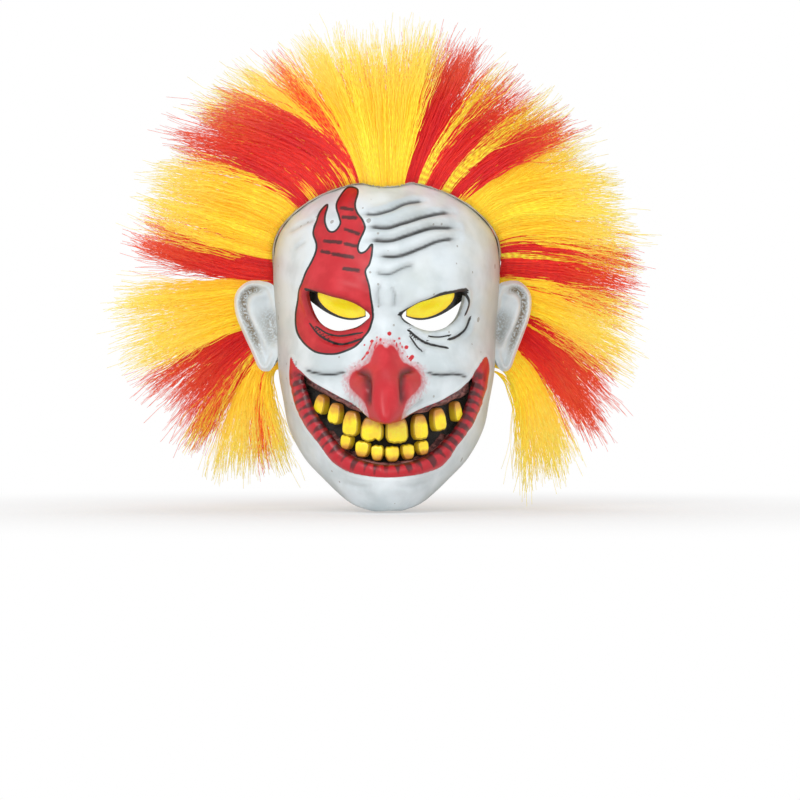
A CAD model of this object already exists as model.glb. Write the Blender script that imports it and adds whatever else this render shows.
"""Looks of a latex horror clown mask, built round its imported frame.

The tables and sizes are in millimetres. Meshes are in metres, in the frame's own
axes: +Z up, the face looks along -Y, and the origin is level with the eye holes.
"""

import logging
import math
from dataclasses import dataclass, field
from enum import Enum
from typing import Any

import bmesh
import bpy
import numpy as np
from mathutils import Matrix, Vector


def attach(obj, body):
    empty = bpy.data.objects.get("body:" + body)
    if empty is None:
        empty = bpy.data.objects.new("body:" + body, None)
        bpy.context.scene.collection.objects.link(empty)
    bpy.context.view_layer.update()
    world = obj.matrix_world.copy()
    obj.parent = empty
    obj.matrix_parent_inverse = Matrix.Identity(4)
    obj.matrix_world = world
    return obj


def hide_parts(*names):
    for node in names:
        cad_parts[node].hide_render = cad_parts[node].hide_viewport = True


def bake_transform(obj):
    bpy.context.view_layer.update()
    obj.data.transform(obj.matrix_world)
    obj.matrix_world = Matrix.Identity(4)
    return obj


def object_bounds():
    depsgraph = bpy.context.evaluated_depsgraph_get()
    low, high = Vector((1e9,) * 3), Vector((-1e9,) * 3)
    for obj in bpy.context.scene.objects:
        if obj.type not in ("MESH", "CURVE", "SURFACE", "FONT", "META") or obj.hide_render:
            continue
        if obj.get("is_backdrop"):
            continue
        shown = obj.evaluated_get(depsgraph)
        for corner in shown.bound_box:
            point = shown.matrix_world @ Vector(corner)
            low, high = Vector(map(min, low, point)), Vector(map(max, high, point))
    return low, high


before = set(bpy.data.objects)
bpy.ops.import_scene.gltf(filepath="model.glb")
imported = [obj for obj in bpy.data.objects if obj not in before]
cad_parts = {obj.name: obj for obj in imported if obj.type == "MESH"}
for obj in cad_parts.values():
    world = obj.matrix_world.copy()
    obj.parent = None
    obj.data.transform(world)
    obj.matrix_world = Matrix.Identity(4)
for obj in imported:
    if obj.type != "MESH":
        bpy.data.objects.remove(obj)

LOG = logging.getLogger("mask")
MM = 0.001
RIM_ANGLE = 62
Points = np.ndarray
Line = list[tuple[float, float]]


# ---- Curves and distances ----
def hermite(table: list, at: Points) -> Points:
    """Read a smooth curve through a table of places and values.

    Args:
        table: Rows of place and value, places rising.
        at: Places to read.

    Returns:
        The values there, held at both ends.
    """
    p, v = np.array(table, float).T
    s = np.gradient(v, p)
    s[1:-1] = (v[2:] - v[:-2]) / (p[2:] - p[:-2])
    x = np.clip(np.asarray(at, float), p[0], p[-1])
    i = np.clip(np.searchsorted(p, x, side="right") - 1, 0, len(p) - 2)
    h = p[i + 1] - p[i]
    t = (x - p[i]) / h
    return ((2 * t**3 - 3 * t**2 + 1) * v[i] + (t**3 - 2 * t**2 + t) * h * s[i]
            + (3 * t**2 - 2 * t**3) * v[i + 1] + (t**3 - t**2) * h * s[i + 1])


def bell(d: Points, s: float | Points) -> Points:
    """Height of a bell curve at a distance from its middle."""
    return np.exp(-(d**2) / (2 * s**2))


def ease(x: Points, low: float, high: float) -> Points:
    """Smooth step from 0 at low to 1 at high."""
    t = np.clip((x - low) / (high - low), 0, 1)
    return t * t * (3 - 2 * t)


def rounded(line: Line, closed: bool = False, parts: int = 5) -> Points:
    """Round the corners of a line by a curve through its points.

    Args:
        line: Points of the line.
        closed: Whether the last point joins the first.
        parts: Pieces that each step is cut into.

    Returns:
        The finer line, as rows of two numbers.
    """
    p = np.array(line, float)
    n = len(p)
    steps = n if closed else n - 1
    found = []
    for i in range(steps):
        if closed:
            a, b, c, d = p[i - 1], p[i], p[(i + 1) % n], p[(i + 2) % n]
        else:
            a, b, c, d = p[max(i - 1, 0)], p[i], p[i + 1], p[min(i + 2, n - 1)]
        for t in np.arange(parts) / parts:
            found.append(0.5 * (2 * b + (c - a) * t + (2 * a - 5 * b + 4 * c - d) * t**2
                                + (3 * b - a - 3 * c + d) * t**3))
    if not closed:
        found.append(p[-1])
    return np.array(found)


def near(points: Points, line: Points, closed: bool = False) -> tuple[Points, Points]:
    """Measure points from a line.

    Args:
        points: Rows of two numbers.
        line: Points of the line.
        closed: Whether the last point joins the first.

    Returns:
        The distance of each point, and how far along the line its nearest place is.
    """
    line = np.asarray(line, float)
    ends = np.vstack([line, line[:1]]) if closed else line
    best, along, run = np.full(len(points), 1e9), np.zeros(len(points)), 0.0
    for a, b in zip(ends[:-1], ends[1:]):
        d = b - a
        size = max(float(np.hypot(*d)), 1e-9)
        t = np.clip((points - a) @ d / size**2, 0, 1)
        away = np.hypot(*(points - a - t[:, None] * d).T)
        closer = away < best
        best[closer], along[closer] = away[closer], run + t[closer] * size
        run += size
    return best, along


def at_length(line: Points, run: Points, closed: bool = False) -> Points:
    """Find places on a line.

    Args:
        line: Points of the line.
        run: How far along it each place is.
        closed: Whether the last point joins the first.

    Returns:
        The places, as rows of two numbers.
    """
    ends = np.vstack([line, line[:1]]) if closed else line
    at = np.concatenate([[0], np.cumsum(np.hypot(*np.diff(ends, axis=0).T))])
    return np.stack([np.interp(run, at, ends[:, i]) for i in (0, 1)], 1)


def beside(points: Points, line: Points) -> Points:
    """Measure points from an open line, with a side.

    Args:
        points: Rows of two numbers.
        line: Points of the line.

    Returns:
        The distance of each point, below zero on the line's right.
    """
    away, run = near(points, line)
    ahead = at_length(line, run + 0.05) - at_length(line, run - 0.05)
    off = points - at_length(line, run)
    return away * np.sign(ahead[:, 0] * off[:, 1] - ahead[:, 1] * off[:, 0])


def signed(points: Points, loop: Points) -> Points:
    """Measure points from a closed loop, with a side.

    Args:
        points: Rows of two numbers.
        loop: Points of the loop.

    Returns:
        The distance of each point, below zero inside the loop.
    """
    away, _ = near(points, loop, True)
    x, z = points.T
    inside = np.zeros(len(points), bool)
    for (x0, z0), (x1, z1) in zip(loop, np.roll(loop, -1, 0)):
        crosses = (z0 > z) != (z1 > z)
        inside ^= crosses & (x < (x1 - x0) * (z - z0) / (z1 - z0 + 1e-12) + x0)
    return np.where(inside, -away, away)


# ---- The shape of the head ----
EYE = [(0, 5), (9, 12.5), (24, 17.5), (40, 21), (41.5, 16), (37, 3), (28, -4), (20, -6),
       (10, -4), (3, 0.5)]
EYE_INNER = 10.5
LIP_TOP = [(-58, -35), (-48.5, -41), (-36.5, -47.5), (-24.5, -53.5), (-10, -60.5), (0, -63),
           (9, -62), (23, -58), (35, -54), (47, -47), (60, -36)]
LIP_LOW = [(-58, -36), (-53, -52), (-46, -65), (-37, -77), (-28, -87), (-17, -92), (0, -95),
           (18, -93), (31, -88), (41, -79), (50, -68), (57, -52), (60, -37)]
MOUTH_MID = [(-58, -35.5), (-50, -46), (-40, -58), (-30, -68), (-18, -77), (0, -80),
             (18, -77), (31, -68), (42, -58), (52, -46), (60, -36.5)]
SEAM_Z = -36.0


@dataclass(frozen=True)
class HeadForm:
    """The smooth outside of the mask, by bearing round the head and height."""

    half_width: tuple = ((-127, 8), (-124, 19), (-119, 28), (-106, 42.5), (-92, 56),
                         (-72, 67), (-52, 71.5), (-32, 75), (0, 76), (21, 78),
                         (41, 78.5), (62, 75), (82, 61.5), (100, 39), (112, 20.5), (118, 3))
    front: tuple = ((-127, -80), (-124, -87), (-119, -92), (-110, -96), (-92, -98),
                    (-60, -102), (-30, -98), (0, -97), (20, -102), (40, -100), (60, -94),
                    (80, -80), (96, -56), (110, -25), (118, -1))
    middle: tuple = ((-127, -70), (-119, -52), (-106, -38), (-92, -24), (-72, -10),
                     (-40, 3), (0, 5), (60, 5), (90, 3), (118, 1))
    back: tuple = ((-127, -60), (-119, -15), (-92, 30), (-60, 60), (-30, 80), (0, 95),
                   (21, 98), (50, 95), (80, 76), (100, 48), (112, 24), (118, 4))
    nose_rise: tuple = ((-74, 0), (-67, 0.08), (-61, 0.68), (-54, 1), (-45, 0.9),
                        (-30, 0.52), (-15, 0.24), (0, 0.09), (16, 0))
    nose_wide: tuple = ((-74, 9), (-54, 10), (-40, 9.5), (-20, 7.5), (20, 7))
    nose_out: float = 34
    wing_out: float = 12
    brow_out: float = 6
    socket_in: float = 9
    cheek_out: float = 7
    chin_out: float = 5

    def half(self, z: Points) -> Points:
        """Half the width at a height."""
        return hermite(self.half_width, z)

    def relief(self, x: Points, z: Points) -> Points:
        """How far the features stand out of the plain head."""
        p = np.abs(x)
        wide = hermite(self.nose_wide, z)
        return (self.brow_out * bell(p - 33, 15) * bell(z - 22 - 0.35 * (p - 30), 7)
                - self.socket_in * bell(p - 31, 14) * bell(z - 3, 10)
                + self.cheek_out * bell(p - 47, 15) * bell(z + 36, 13)
                + self.nose_out * hermite(self.nose_rise, z) * bell(p, wide)
                + self.wing_out * bell(p - 16, 6.5) * bell(z + 43, 8)
                + self.chin_out * bell(p, 17) * bell(z + 110, 10))

    def skin(self, a: Points, z: Points, features: bool = True) -> Points:
        """Find points on the outside.

        Args:
            a: Bearings in degrees, 0 at the nose and 90 at +X.
            z: Heights.
            features: Whether the nose, brows and cheeks stand out.

        Returns:
            Rows of three numbers.
        """
        turn = np.radians(a)
        c = np.cos(turn)
        x = self.half(z) * np.sin(turn)
        m, f, b = (hermite(t, z) for t in (self.middle, self.front, self.back))
        y = np.where(c > 0, m - (m - f) * c, m - (b - m) * c)
        if features:
            y = y - np.where(c > 0, self.relief(x, z) * np.minimum(1, 1.6 * c), 0)
        return np.stack([x, y, np.broadcast_to(z, x.shape)], -1)

    def outward(self, a: Points, z: Points, features: bool = True) -> Points:
        """Unit normals of the outside, as rows of three numbers."""
        across = self.skin(a + 0.5, z, features) - self.skin(a - 0.5, z, features)
        up = self.skin(a, z + 0.5, features) - self.skin(a, z - 0.5, features)
        n = np.cross(across, up)
        return n / np.maximum(np.linalg.norm(n, axis=-1, keepdims=True), 1e-9)

    def bearing(self, x: Points, z: Points) -> Points:
        """Bearing in degrees of a point on the front."""
        return np.degrees(np.arcsin(np.clip(x / self.half(z), -0.995, 0.995)))

    def behind(self, x: Points, z: Points, depth: Points | float, features: bool) -> Points:
        """Points under the front skin at a depth, as rows of three numbers."""
        a = self.bearing(x, z)
        p, n = self.skin(a, z, features), self.outward(a, z, features)
        p[..., 1] += depth / np.maximum(0.6, np.abs(n[..., 1]))
        return p


HEAD = HeadForm()


# ---- Mesh helpers ----
def grid(cols: int, rows: int) -> bmesh.types.BMesh:
    """A flat grid over the unit square, as a new bmesh."""
    bm = bmesh.new()
    bmesh.ops.create_grid(bm, x_segments=cols, y_segments=rows, size=0.5)
    bmesh.ops.translate(bm, verts=bm.verts, vec=(0.5, 0.5, 0))
    return bm


def places(bm: bmesh.types.BMesh) -> Points:
    """Vertex places of a bmesh, as rows of three numbers."""
    return np.array([v.co[:] for v in bm.verts], float).reshape(-1, 3)


def put_places(bm: bmesh.types.BMesh, co: Points) -> None:
    """Move every vertex of a bmesh to its row of a table."""
    for v, c in zip(bm.verts, co):
        v.co = c


def keep(bm: bmesh.types.BMesh, name: str, numbers: Points) -> None:
    """Keep one number for each vertex of a bmesh in a named layer."""
    layer = bm.verts.layers.float.new(name)
    for v, number in zip(bm.verts, numbers):
        v[layer] = number


def put_map(bm: bmesh.types.BMesh, across: Points, up: Points) -> None:
    """Give a bmesh a texture map.

    Args:
        bm: The mesh.
        across: First number of the map, for each vertex.
        up: Second number of the map, for each vertex.
    """
    layer = bm.loops.layers.uv.new("UVMap")
    for f in bm.faces:
        for loop in f.loops:
            i = loop.vert.index
            loop[layer].uv = (across[i], up[i])


def linked(name: str, data: Any) -> bpy.types.Object:
    """Make an object from its data and put it in the scene."""
    obj = bpy.data.objects.new(name, data)
    bpy.context.scene.collection.objects.link(obj)
    return obj


def finished(name: str, bm: bmesh.types.BMesh, body: str | None,
             finish: Any, replaces: tuple = (), outward: bool = True) -> bpy.types.Object:
    """Turn a bmesh in millimetres into a piece.

    Args:
        name: Name of the piece.
        bm: The shape, freed here.
        body: The body that it rides, or None for a piece that bends later.
        finish: The material.
        replaces: Nodes that it stands for.
        outward: Whether the faces are turned outwards first.

    Returns:
        The new object.
    """
    bmesh.ops.scale(bm, vec=(MM, MM, MM), verts=bm.verts)
    if outward:
        bmesh.ops.recalc_face_normals(bm, faces=bm.faces)
    mesh = bpy.data.meshes.new(name)
    bm.to_mesh(mesh)
    bm.free()
    mesh.shade_smooth()
    obj = linked(name, mesh)
    mesh.materials.append(finish)
    if body:
        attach(obj, body)
    if replaces:
        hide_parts(*replaces)
    LOG.info("%s: %d vertices", name, len(mesh.vertices))
    return obj


def store(obj: bpy.types.Object, name: str, values: Points) -> None:
    """Keep one number for each vertex as a named attribute."""
    layer = obj.data.attributes.new(name, "FLOAT", "POINT")
    layer.data.foreach_set("value", np.asarray(values, np.float32))


def thicken(obj: bpy.types.Object, wall: float) -> None:
    """Give a sheet a wall on its inner side, and sharp rims.

    Args:
        obj: The sheet.
        wall: Thickness.
    """
    mod = obj.modifiers.new("wall", "SOLIDIFY")
    mod.thickness, mod.offset, mod.use_even_offset = wall * MM, -1, False
    bpy.context.view_layer.update()
    made = bpy.data.meshes.new_from_object(
        obj.evaluated_get(bpy.context.evaluated_depsgraph_get()))
    obj.modifiers.clear()
    obj.data = made
    made.set_sharp_from_angle(angle=math.radians(RIM_ANGLE))


def walled(bm: bmesh.types.BMesh, wall: float, slot: int) -> None:
    """Close a sheet with an inner face, set in along each point's inward layer.

    Args:
        bm: The sheet, with a vector layer named inward.
        wall: Thickness.
        slot: The inner face's material.
    """
    rim = [(e.link_loops[0].vert, e.link_loops[0].link_loop_next.vert)
           for e in bm.edges if e.is_boundary]
    verts = bm.verts[:]
    made = bmesh.ops.duplicate(bm, geom=verts + bm.edges[:] + bm.faces[:])
    twin = made["vert_map"]
    inward = bm.verts.layers.float_vector["inward"]
    for v in verts:
        twin[v].co = v.co + v[inward] * wall
    for f in made["geom"]:
        if isinstance(f, bmesh.types.BMFace):
            f.normal_flip()
            f.material_index = slot
    for a, b in rim:
        bm.faces.new((b, a, twin[a], twin[b]))


# ---- Node graphs ----
def paint(r: float, g: float, b: float) -> tuple:
    """A colour given as 0 to 255 turned into the renderer's own light values."""
    lin = [(c / 255 / 12.92 if c <= 10.3 else ((c / 255 + 0.055) / 1.055) ** 2.4)
           for c in (r, g, b)]
    return (*lin, 1.0)


class Graph:
    """Short calls that wire up a node tree."""

    def __init__(self, tree: bpy.types.NodeTree) -> None:
        """Start on a tree."""
        self.tree = tree

    def add(self, kind: str, **sets: Any) -> bpy.types.Node:
        """Add a node and set its properties."""
        node = self.tree.nodes.new(kind)
        for key, value in sets.items():
            setattr(node, key, value)
        return node

    def feed(self, socket: bpy.types.NodeSocket, value: Any) -> None:
        """Link or set an input."""
        if isinstance(value, bpy.types.NodeSocket):
            self.tree.links.new(value, socket)
        else:
            socket.default_value = value

    def attr(self, name: str) -> bpy.types.NodeSocket:
        """Read one number kept on the vertices."""
        return self.add("ShaderNodeAttribute", attribute_name=name).outputs["Fac"]

    def place(self) -> bpy.types.NodeSocket:
        """The object's own coordinates, in metres."""
        return self.add("ShaderNodeTexCoord").outputs["Object"]

    def math(self, op: str, a: Any, b: Any = 0.0, clamp: bool = False) -> bpy.types.NodeSocket:
        """One arithmetic step."""
        node = self.add("ShaderNodeMath", operation=op, use_clamp=clamp)
        self.feed(node.inputs[0], a)
        self.feed(node.inputs[1], b)
        return node.outputs[0]

    def times(self, a: Any, b: Any, clamp: bool = False) -> bpy.types.NodeSocket:
        """Product of two numbers."""
        return self.math("MULTIPLY", a, b, clamp)

    def plus(self, a: Any, b: Any, clamp: bool = False) -> bpy.types.NodeSocket:
        """Sum of two numbers."""
        return self.math("ADD", a, b, clamp)

    def fade(self, value: Any, low: float, high: float, start: float = 0.0,
             end: float = 1.0) -> bpy.types.NodeSocket:
        """Smooth step of a value from start at low to end at high."""
        node = self.add("ShaderNodeMapRange", interpolation_type="SMOOTHSTEP", clamp=True)
        for socket, v in zip(node.inputs, (value, low, high, start, end)):
            self.feed(socket, v)
        return node.outputs[0]

    def mix(self, share: Any, a: Any, b: Any, how: str = "MIX") -> bpy.types.NodeSocket:
        """Mix two colours."""
        node = self.add("ShaderNodeMix", data_type="RGBA", blend_type=how)
        self.feed(node.inputs[0], share)
        self.feed(node.inputs[6], a)
        self.feed(node.inputs[7], b)
        return node.outputs[2]

    def seen(self) -> bpy.types.NodeSocket:
        """1 for rays from the camera, a gloss or a clear body, and 0 for the rest."""
        rays = self.add("ShaderNodeLightPath").outputs
        sharp = self.plus(rays["Is Glossy Ray"], rays["Is Transmission Ray"])
        return self.plus(rays["Is Camera Ray"], sharp, clamp=True)

    def noise(self, scale: float, where: Any, detail: float = 3.0,
              rough: float = 0.55) -> bpy.types.NodeSocket:
        """Cloudy pattern from 0 to 1."""
        node = self.add("ShaderNodeTexNoise")
        self.feed(node.inputs["Vector"], where)
        for key, v in (("Scale", scale), ("Detail", detail), ("Roughness", rough)):
            node.inputs[key].default_value = v
        return node.outputs["Fac"]

    def stretch(self, where: Any, scale: tuple) -> bpy.types.NodeSocket:
        """Coordinates with each axis scaled."""
        node = self.add("ShaderNodeMapping")
        self.feed(node.inputs["Vector"], where)
        node.inputs["Scale"].default_value = scale
        return node.outputs[0]

    def group(self, tree: bpy.types.NodeTree, **inputs: Any) -> bpy.types.Node:
        """Place a node group with its own values."""
        node = self.add("ShaderNodeGroup", node_tree=tree)
        for key, value in inputs.items():
            self.feed(node.inputs[key], value)
        return node


def new_group(name: str, inputs: dict, outputs: dict) -> tuple[Graph, Any, Any]:
    """Start a node group.

    Args:
        name: Its name.
        inputs: Input names with a starting number.
        outputs: Output names with a socket type.

    Returns:
        Its graph, the sockets that feed it, and the node that takes its results.
    """
    tree = bpy.data.node_groups.new(name, "ShaderNodeTree")
    for key, value in inputs.items():
        made = tree.interface.new_socket(name=key, in_out="INPUT", socket_type="NodeSocketFloat")
        made.default_value = value
    for key, kind in outputs.items():
        tree.interface.new_socket(name=key, in_out="OUTPUT", socket_type=kind)
    g = Graph(tree)
    return g, g.add("NodeGroupInput").outputs, g.add("NodeGroupOutput").inputs


def grain_group() -> bpy.types.NodeTree:
    """Fine pores and slow waves of a cast or moulded surface."""
    g, ins, out = new_group("cast_grain", {"Size": 900.0, "Slow": 45.0},
                            {"Height": "NodeSocketFloat", "Blotch": "NodeSocketFloat"})
    where = g.place()
    fine = g.add("ShaderNodeTexNoise")
    g.feed(fine.inputs["Vector"], where)
    g.feed(fine.inputs["Scale"], ins["Size"])
    slow = g.add("ShaderNodeTexNoise")
    g.feed(slow.inputs["Vector"], where)
    g.feed(slow.inputs["Scale"], ins["Slow"])
    slow.inputs["Detail"].default_value = 4
    g.feed(out["Height"], g.math("ADD", g.math("MULTIPLY", fine.outputs["Fac"], 0.35),
                                 slow.outputs["Fac"]))
    g.feed(out["Blotch"], g.fade(slow.outputs["Fac"], 0.35, 0.68))
    return g.tree


def weave_group() -> bpy.types.NodeTree:
    """Over and under threads of a plain cloth on the piece's own map."""
    g, ins, out = new_group("plain_weave", {"Threads": 100.0},
                            {"Height": "NodeSocketFloat", "Gap": "NodeSocketFloat"})
    uv = g.add("ShaderNodeSeparateXYZ")
    g.feed(uv.inputs[0], g.add("ShaderNodeUVMap").outputs[0])
    waves = []
    for axis in (0, 1):
        phase = g.times(g.times(uv.outputs[axis], ins["Threads"]), math.tau)
        waves.append(g.math("SINE", phase))
    both = g.times(waves[0], waves[1])
    g.feed(out["Height"], g.plus(g.times(both, 0.5), 0.5))
    g.feed(out["Gap"], g.fade(g.math("ABSOLUTE", both), 0.02, 0.3, 1.0, 0.0))
    return g.tree


def speck_group() -> bpy.types.NodeTree:
    """Sparse spatter: small dots where a share of the cells holds one."""
    g, ins, out = new_group("spatter", {"Scale": 160.0, "Share": 0.1, "Dot": 0.16},
                            {"Mask": "NodeSocketFloat"})
    cell = g.add("ShaderNodeTexVoronoi")
    g.feed(cell.inputs["Vector"], g.place())
    g.feed(cell.inputs["Scale"], ins["Scale"])
    tone = g.add("ShaderNodeSeparateColor")
    g.feed(tone.inputs[0], cell.outputs["Color"])
    dot = g.math("LESS_THAN", cell.outputs["Distance"], ins["Dot"])
    g.feed(out["Mask"], g.times(dot, g.math("LESS_THAN", tone.outputs[0], ins["Share"])))
    return g.tree


GRAIN, WEAVE, SPECK = grain_group(), weave_group(), speck_group()
TOOTH_GLOW = 0.16
LENS_GLOW = 0.22
HAIR_GLOW = 0.22


class Finish(Graph):
    """A material being made: its graph, its shader and its output."""

    def __init__(self, name: str, rough: float, coat: float = 0.0, sheen: float = 0.0) -> None:
        """Start a material.

        Args:
            name: Name of the finish.
            rough: Roughness of the surface.
            coat: Weight of a clear coat.
            sheen: Weight of a cloth sheen.
        """
        self.mat = bpy.data.materials.new(name)
        self.mat.use_nodes = True
        super().__init__(self.mat.node_tree)
        self.tree.nodes.clear()
        self.shader = self.add("ShaderNodeBsdfPrincipled")
        self.shader.inputs["Roughness"].default_value = rough
        self.shader.inputs["Coat Weight"].default_value = coat
        self.shader.inputs["Coat Roughness"].default_value = 0.25
        self.shader.inputs["Sheen Weight"].default_value = sheen
        self.feed(self.add("ShaderNodeOutputMaterial").inputs[0], self.shader.outputs[0])

    def colour(self, value: Any, bright: float = 0.0) -> None:
        """Set the base colour.

        Args:
            value: The colour.
            bright: Share of the colour that is added as light of its own.
        """
        self.feed(self.shader.inputs["Base Color"], value)
        if bright:
            self.feed(self.shader.inputs["Emission Color"], value)
            self.shader.inputs["Emission Strength"].default_value = bright

    def roughness(self, value: Any) -> None:
        """Set a roughness that changes over the surface."""
        self.feed(self.shader.inputs["Roughness"], value)

    def bump(self, height: Any, depth: float, strength: float = 1.0) -> None:
        """Raise the surface by a pattern.

        Args:
            height: The pattern.
            depth: Its full height in millimetres.
            strength: Share of the effect.
        """
        node = self.add("ShaderNodeBump")
        node.inputs["Strength"].default_value = strength
        node.inputs["Distance"].default_value = depth * MM
        self.feed(node.inputs["Height"], height)
        self.feed(self.shader.inputs["Normal"], node.outputs[0])


@dataclass(frozen=True)
class PaintedLatex:
    """Cast latex airbrushed off-white, with hand-painted patches, lines and lips."""

    white: tuple = (236, 245, 249)
    shade: tuple = (212, 223, 226)
    red: tuple = (204, 24, 38)
    deep: tuple = (150, 14, 26)
    ink: tuple = (14, 12, 12)

    def make(self) -> bpy.types.Material:
        """Build the material."""
        f = Finish("painted_latex", 0.42, coat=0.08)
        where = f.place()
        cast = f.group(GRAIN, Size=1100.0, Slow=38.0)
        base = f.mix(cast.outputs["Blotch"], paint(*self.white), paint(*self.shade))
        base = f.mix(f.times(f.attr("edge"), 0.75), base, paint(158, 168, 165))
        warm = f.fade(f.noise(14, where), 0.52, 0.75, 0, 0.16)
        base = f.mix(warm, base, paint(226, 214, 176))
        fine = f.group(SPECK, Scale=190.0, Share=0.12, Dot=0.16)
        base = f.mix(f.times(fine.outputs[0], 0.5), base, paint(128, 112, 92))
        wide = f.group(SPECK, Scale=80.0, Share=0.12, Dot=0.15)
        base = f.mix(f.times(wide.outputs[0], 0.55), base, paint(112, 98, 80))
        streak = f.noise(160, f.stretch(where, (0.5, 1.0, 2.2)), 4.0)
        core = f.fade(f.attr("wash"), 0.35, 0.95, 0, 0.85)
        soft = f.times(f.attr("wash"), f.fade(streak, 0.2, 0.6, 0.45, 0.8), clamp=True)
        base = f.mix(soft, base, paint(78, 76, 74))
        base = f.mix(core, base, paint(44, 42, 41))
        ridge = f.math("SINE", f.times(f.attr("rib"), -math.tau / 5.2))
        ridge = f.plus(ridge, f.times(f.noise(120, where, 4.0), 3.4))
        ridge = f.math("SUBTRACT", ridge, f.times(f.attr("gap"), 0.22))
        lip = f.mix(f.fade(ridge, 0.7, 2.0, 0, 0.88), paint(200, 24, 42), paint(66, 14, 20))
        lip = f.mix(f.fade(f.attr("gap"), 0.1, 1.5, 0.6, 0), lip, paint(54, 12, 18))
        crest = f.fade(f.math("ABSOLUTE", f.math("SUBTRACT", f.attr("lips"), 1.5)), 0.5, 1.3, 0.28, 0)
        base = f.mix(crest, base, paint(246, 250, 252))
        base = f.mix(f.fade(f.attr("lips"), -0.2, 0.25, 1, 0), base, lip)
        dust = f.noise(420, where, 2.0)
        near_nose = f.fade(f.math("ADD", f.attr("nose"), f.math("MULTIPLY", dust, 9)), 3.0, 11.0,
                           0.75, 0.0)
        base = f.mix(near_nose, base, paint(214, 72, 84))
        wet = f.noise(70, where, 3.0)
        red = f.mix(f.fade(wet, 0.4, 0.75), paint(*self.red), paint(220, 46, 56))
        dark = f.mix(f.fade(wet, 0.3, 0.65), paint(*self.deep), paint(*self.red))
        base = f.mix(f.fade(f.attr("drops"), -0.25, 0.25, 1, 0), base, red)
        nose = f.mix(f.attr("nose_wash"), red, paint(96, 6, 16))
        ragged = f.plus(f.attr("nose"), f.times(f.noise(260, where), 1.6))
        base = f.mix(f.fade(ragged, 0.2, 1.6, 1, 0), base, nose)
        patch = f.mix(f.fade(f.attr("blaze"), -6.0, -1.2, 0, 0.6), red, dark)
        patch = f.mix(f.times(f.attr("wash"), 0.9, clamp=True), patch, paint(40, 6, 10))
        strokes = f.math("ADD", f.attr("brush"), f.math("MULTIPLY", f.noise(
            500, f.stretch(where, (0.35, 1, 1.6))), 1.6))
        patch = f.mix(f.fade(strokes, 0.6, 1.7, 0.9, 0), patch, paint(34, 6, 10))
        base = f.mix(f.fade(f.attr("blaze"), -0.15, 0.15, 1, 0), base, patch)
        rough = f.noise(330, where)
        beam = f.plus(f.math("ABSOLUTE", f.attr("beam")), f.times(rough, 0.5))
        drawn = f.times(f.fade(beam, 1.05, 1.5, 1, 0), f.fade(f.attr("ink"), 0.5, 0.9, 1, 0))
        edge = f.plus(f.math("ABSOLUTE", f.attr("blaze")), f.times(rough, 0.3))
        drawn = f.math("MAXIMUM", drawn, f.fade(edge, 0.68, 0.95, 1, 0))
        base = f.mix(drawn, base, paint(*self.ink))
        f.colour(base)
        gloss = f.math("MINIMUM", f.attr("nose"), f.attr("lips"))
        f.roughness(f.fade(gloss, -1.0, 1.0, 0.38, 0.46))
        f.bump(cast.outputs["Height"], 0.35, 0.5)
        return f.mat


@dataclass(frozen=True)
class BareLatex:
    """Unpainted or plainly painted latex, with dirt in its folds."""

    name: str
    tone: tuple
    dark: tuple
    fold: str = ""

    def make(self) -> bpy.types.Material:
        """Build the material."""
        f = Finish(self.name, 0.46, coat=0.05)
        cast = f.group(GRAIN, Size=1000.0, Slow=42.0)
        base = f.mix(cast.outputs["Blotch"], paint(*self.tone), paint(*self.dark))
        if self.fold:
            dirt = f.fade(f.noise(700, f.place(), 2.0), 0.38, 0.55)
            rub = f.times(f.attr(self.fold), dirt, clamp=True)
            base = f.mix(rub, base, paint(126, 104, 62))
            base = f.mix(f.math("MULTIPLY", f.attr(self.fold), 0.3, clamp=True), base,
                         paint(120, 116, 110))
        f.colour(base)
        f.roughness(f.fade(cast.outputs["Height"], 0.4, 1.0, 0.4, 0.55))
        f.bump(cast.outputs["Height"], 0.4, 0.5)
        return f.mat


@dataclass(frozen=True)
class ToothPaint:
    """Cast tooth painted bright yellow, stained orange towards its root."""

    def make(self) -> bpy.types.Material:
        """Build the material."""
        f = Finish("tooth_paint", 0.32, coat=0.2)
        where = f.place()
        cloud = f.noise(170, where, 3.0)
        yellow = f.mix(f.fade(cloud, 0.3, 0.7), paint(255, 234, 34), paint(252, 214, 40))
        root = f.math("ADD", f.attr("root"), f.math("MULTIPLY", f.math("SUBTRACT", cloud, 0.5),
                                                    0.5))
        base = f.mix(f.fade(root, 0.46, 0.9), yellow, paint(206, 136, 48))
        base = f.mix(f.fade(f.attr("side"), 0.93, 1.0, 0, 0.6), base, paint(120, 78, 18))
        lines = f.noise(420, f.stretch(where, (2.4, 2.4, 0.3)), 2.0)
        base = f.mix(f.fade(lines, 0.55, 0.75, 0, 0.16), base, paint(176, 120, 30))
        f.colour(base, TOOTH_GLOW)
        f.roughness(f.fade(cloud, 0.3, 0.7, 0.26, 0.4))
        f.bump(lines, 0.25, 0.4)
        return f.mat


@dataclass(frozen=True)
class GumPaint:
    """Maroon gum with a dry-brushed top coat, black round each tooth."""

    def make(self) -> bpy.types.Material:
        """Build the material."""
        f = Finish("gum_paint", 0.4, coat=0.15)
        where = f.place()
        rub = f.noise(260, f.stretch(where, (0.7, 1, 1.5)), 5.0, 0.7)
        base = f.mix(f.fade(rub, 0.40, 0.62), paint(84, 42, 44), paint(168, 112, 106))
        near_tooth = f.plus(f.attr("socket"), f.times(rub, 1.4))
        base = f.mix(f.fade(near_tooth, 1.0, 1.8, 1, 0), base, paint(14, 11, 11))
        f.colour(base)
        f.roughness(f.fade(rub, 0.3, 0.7, 0.3, 0.5))
        f.bump(rub, 0.7, 0.6)
        return f.mat


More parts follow.
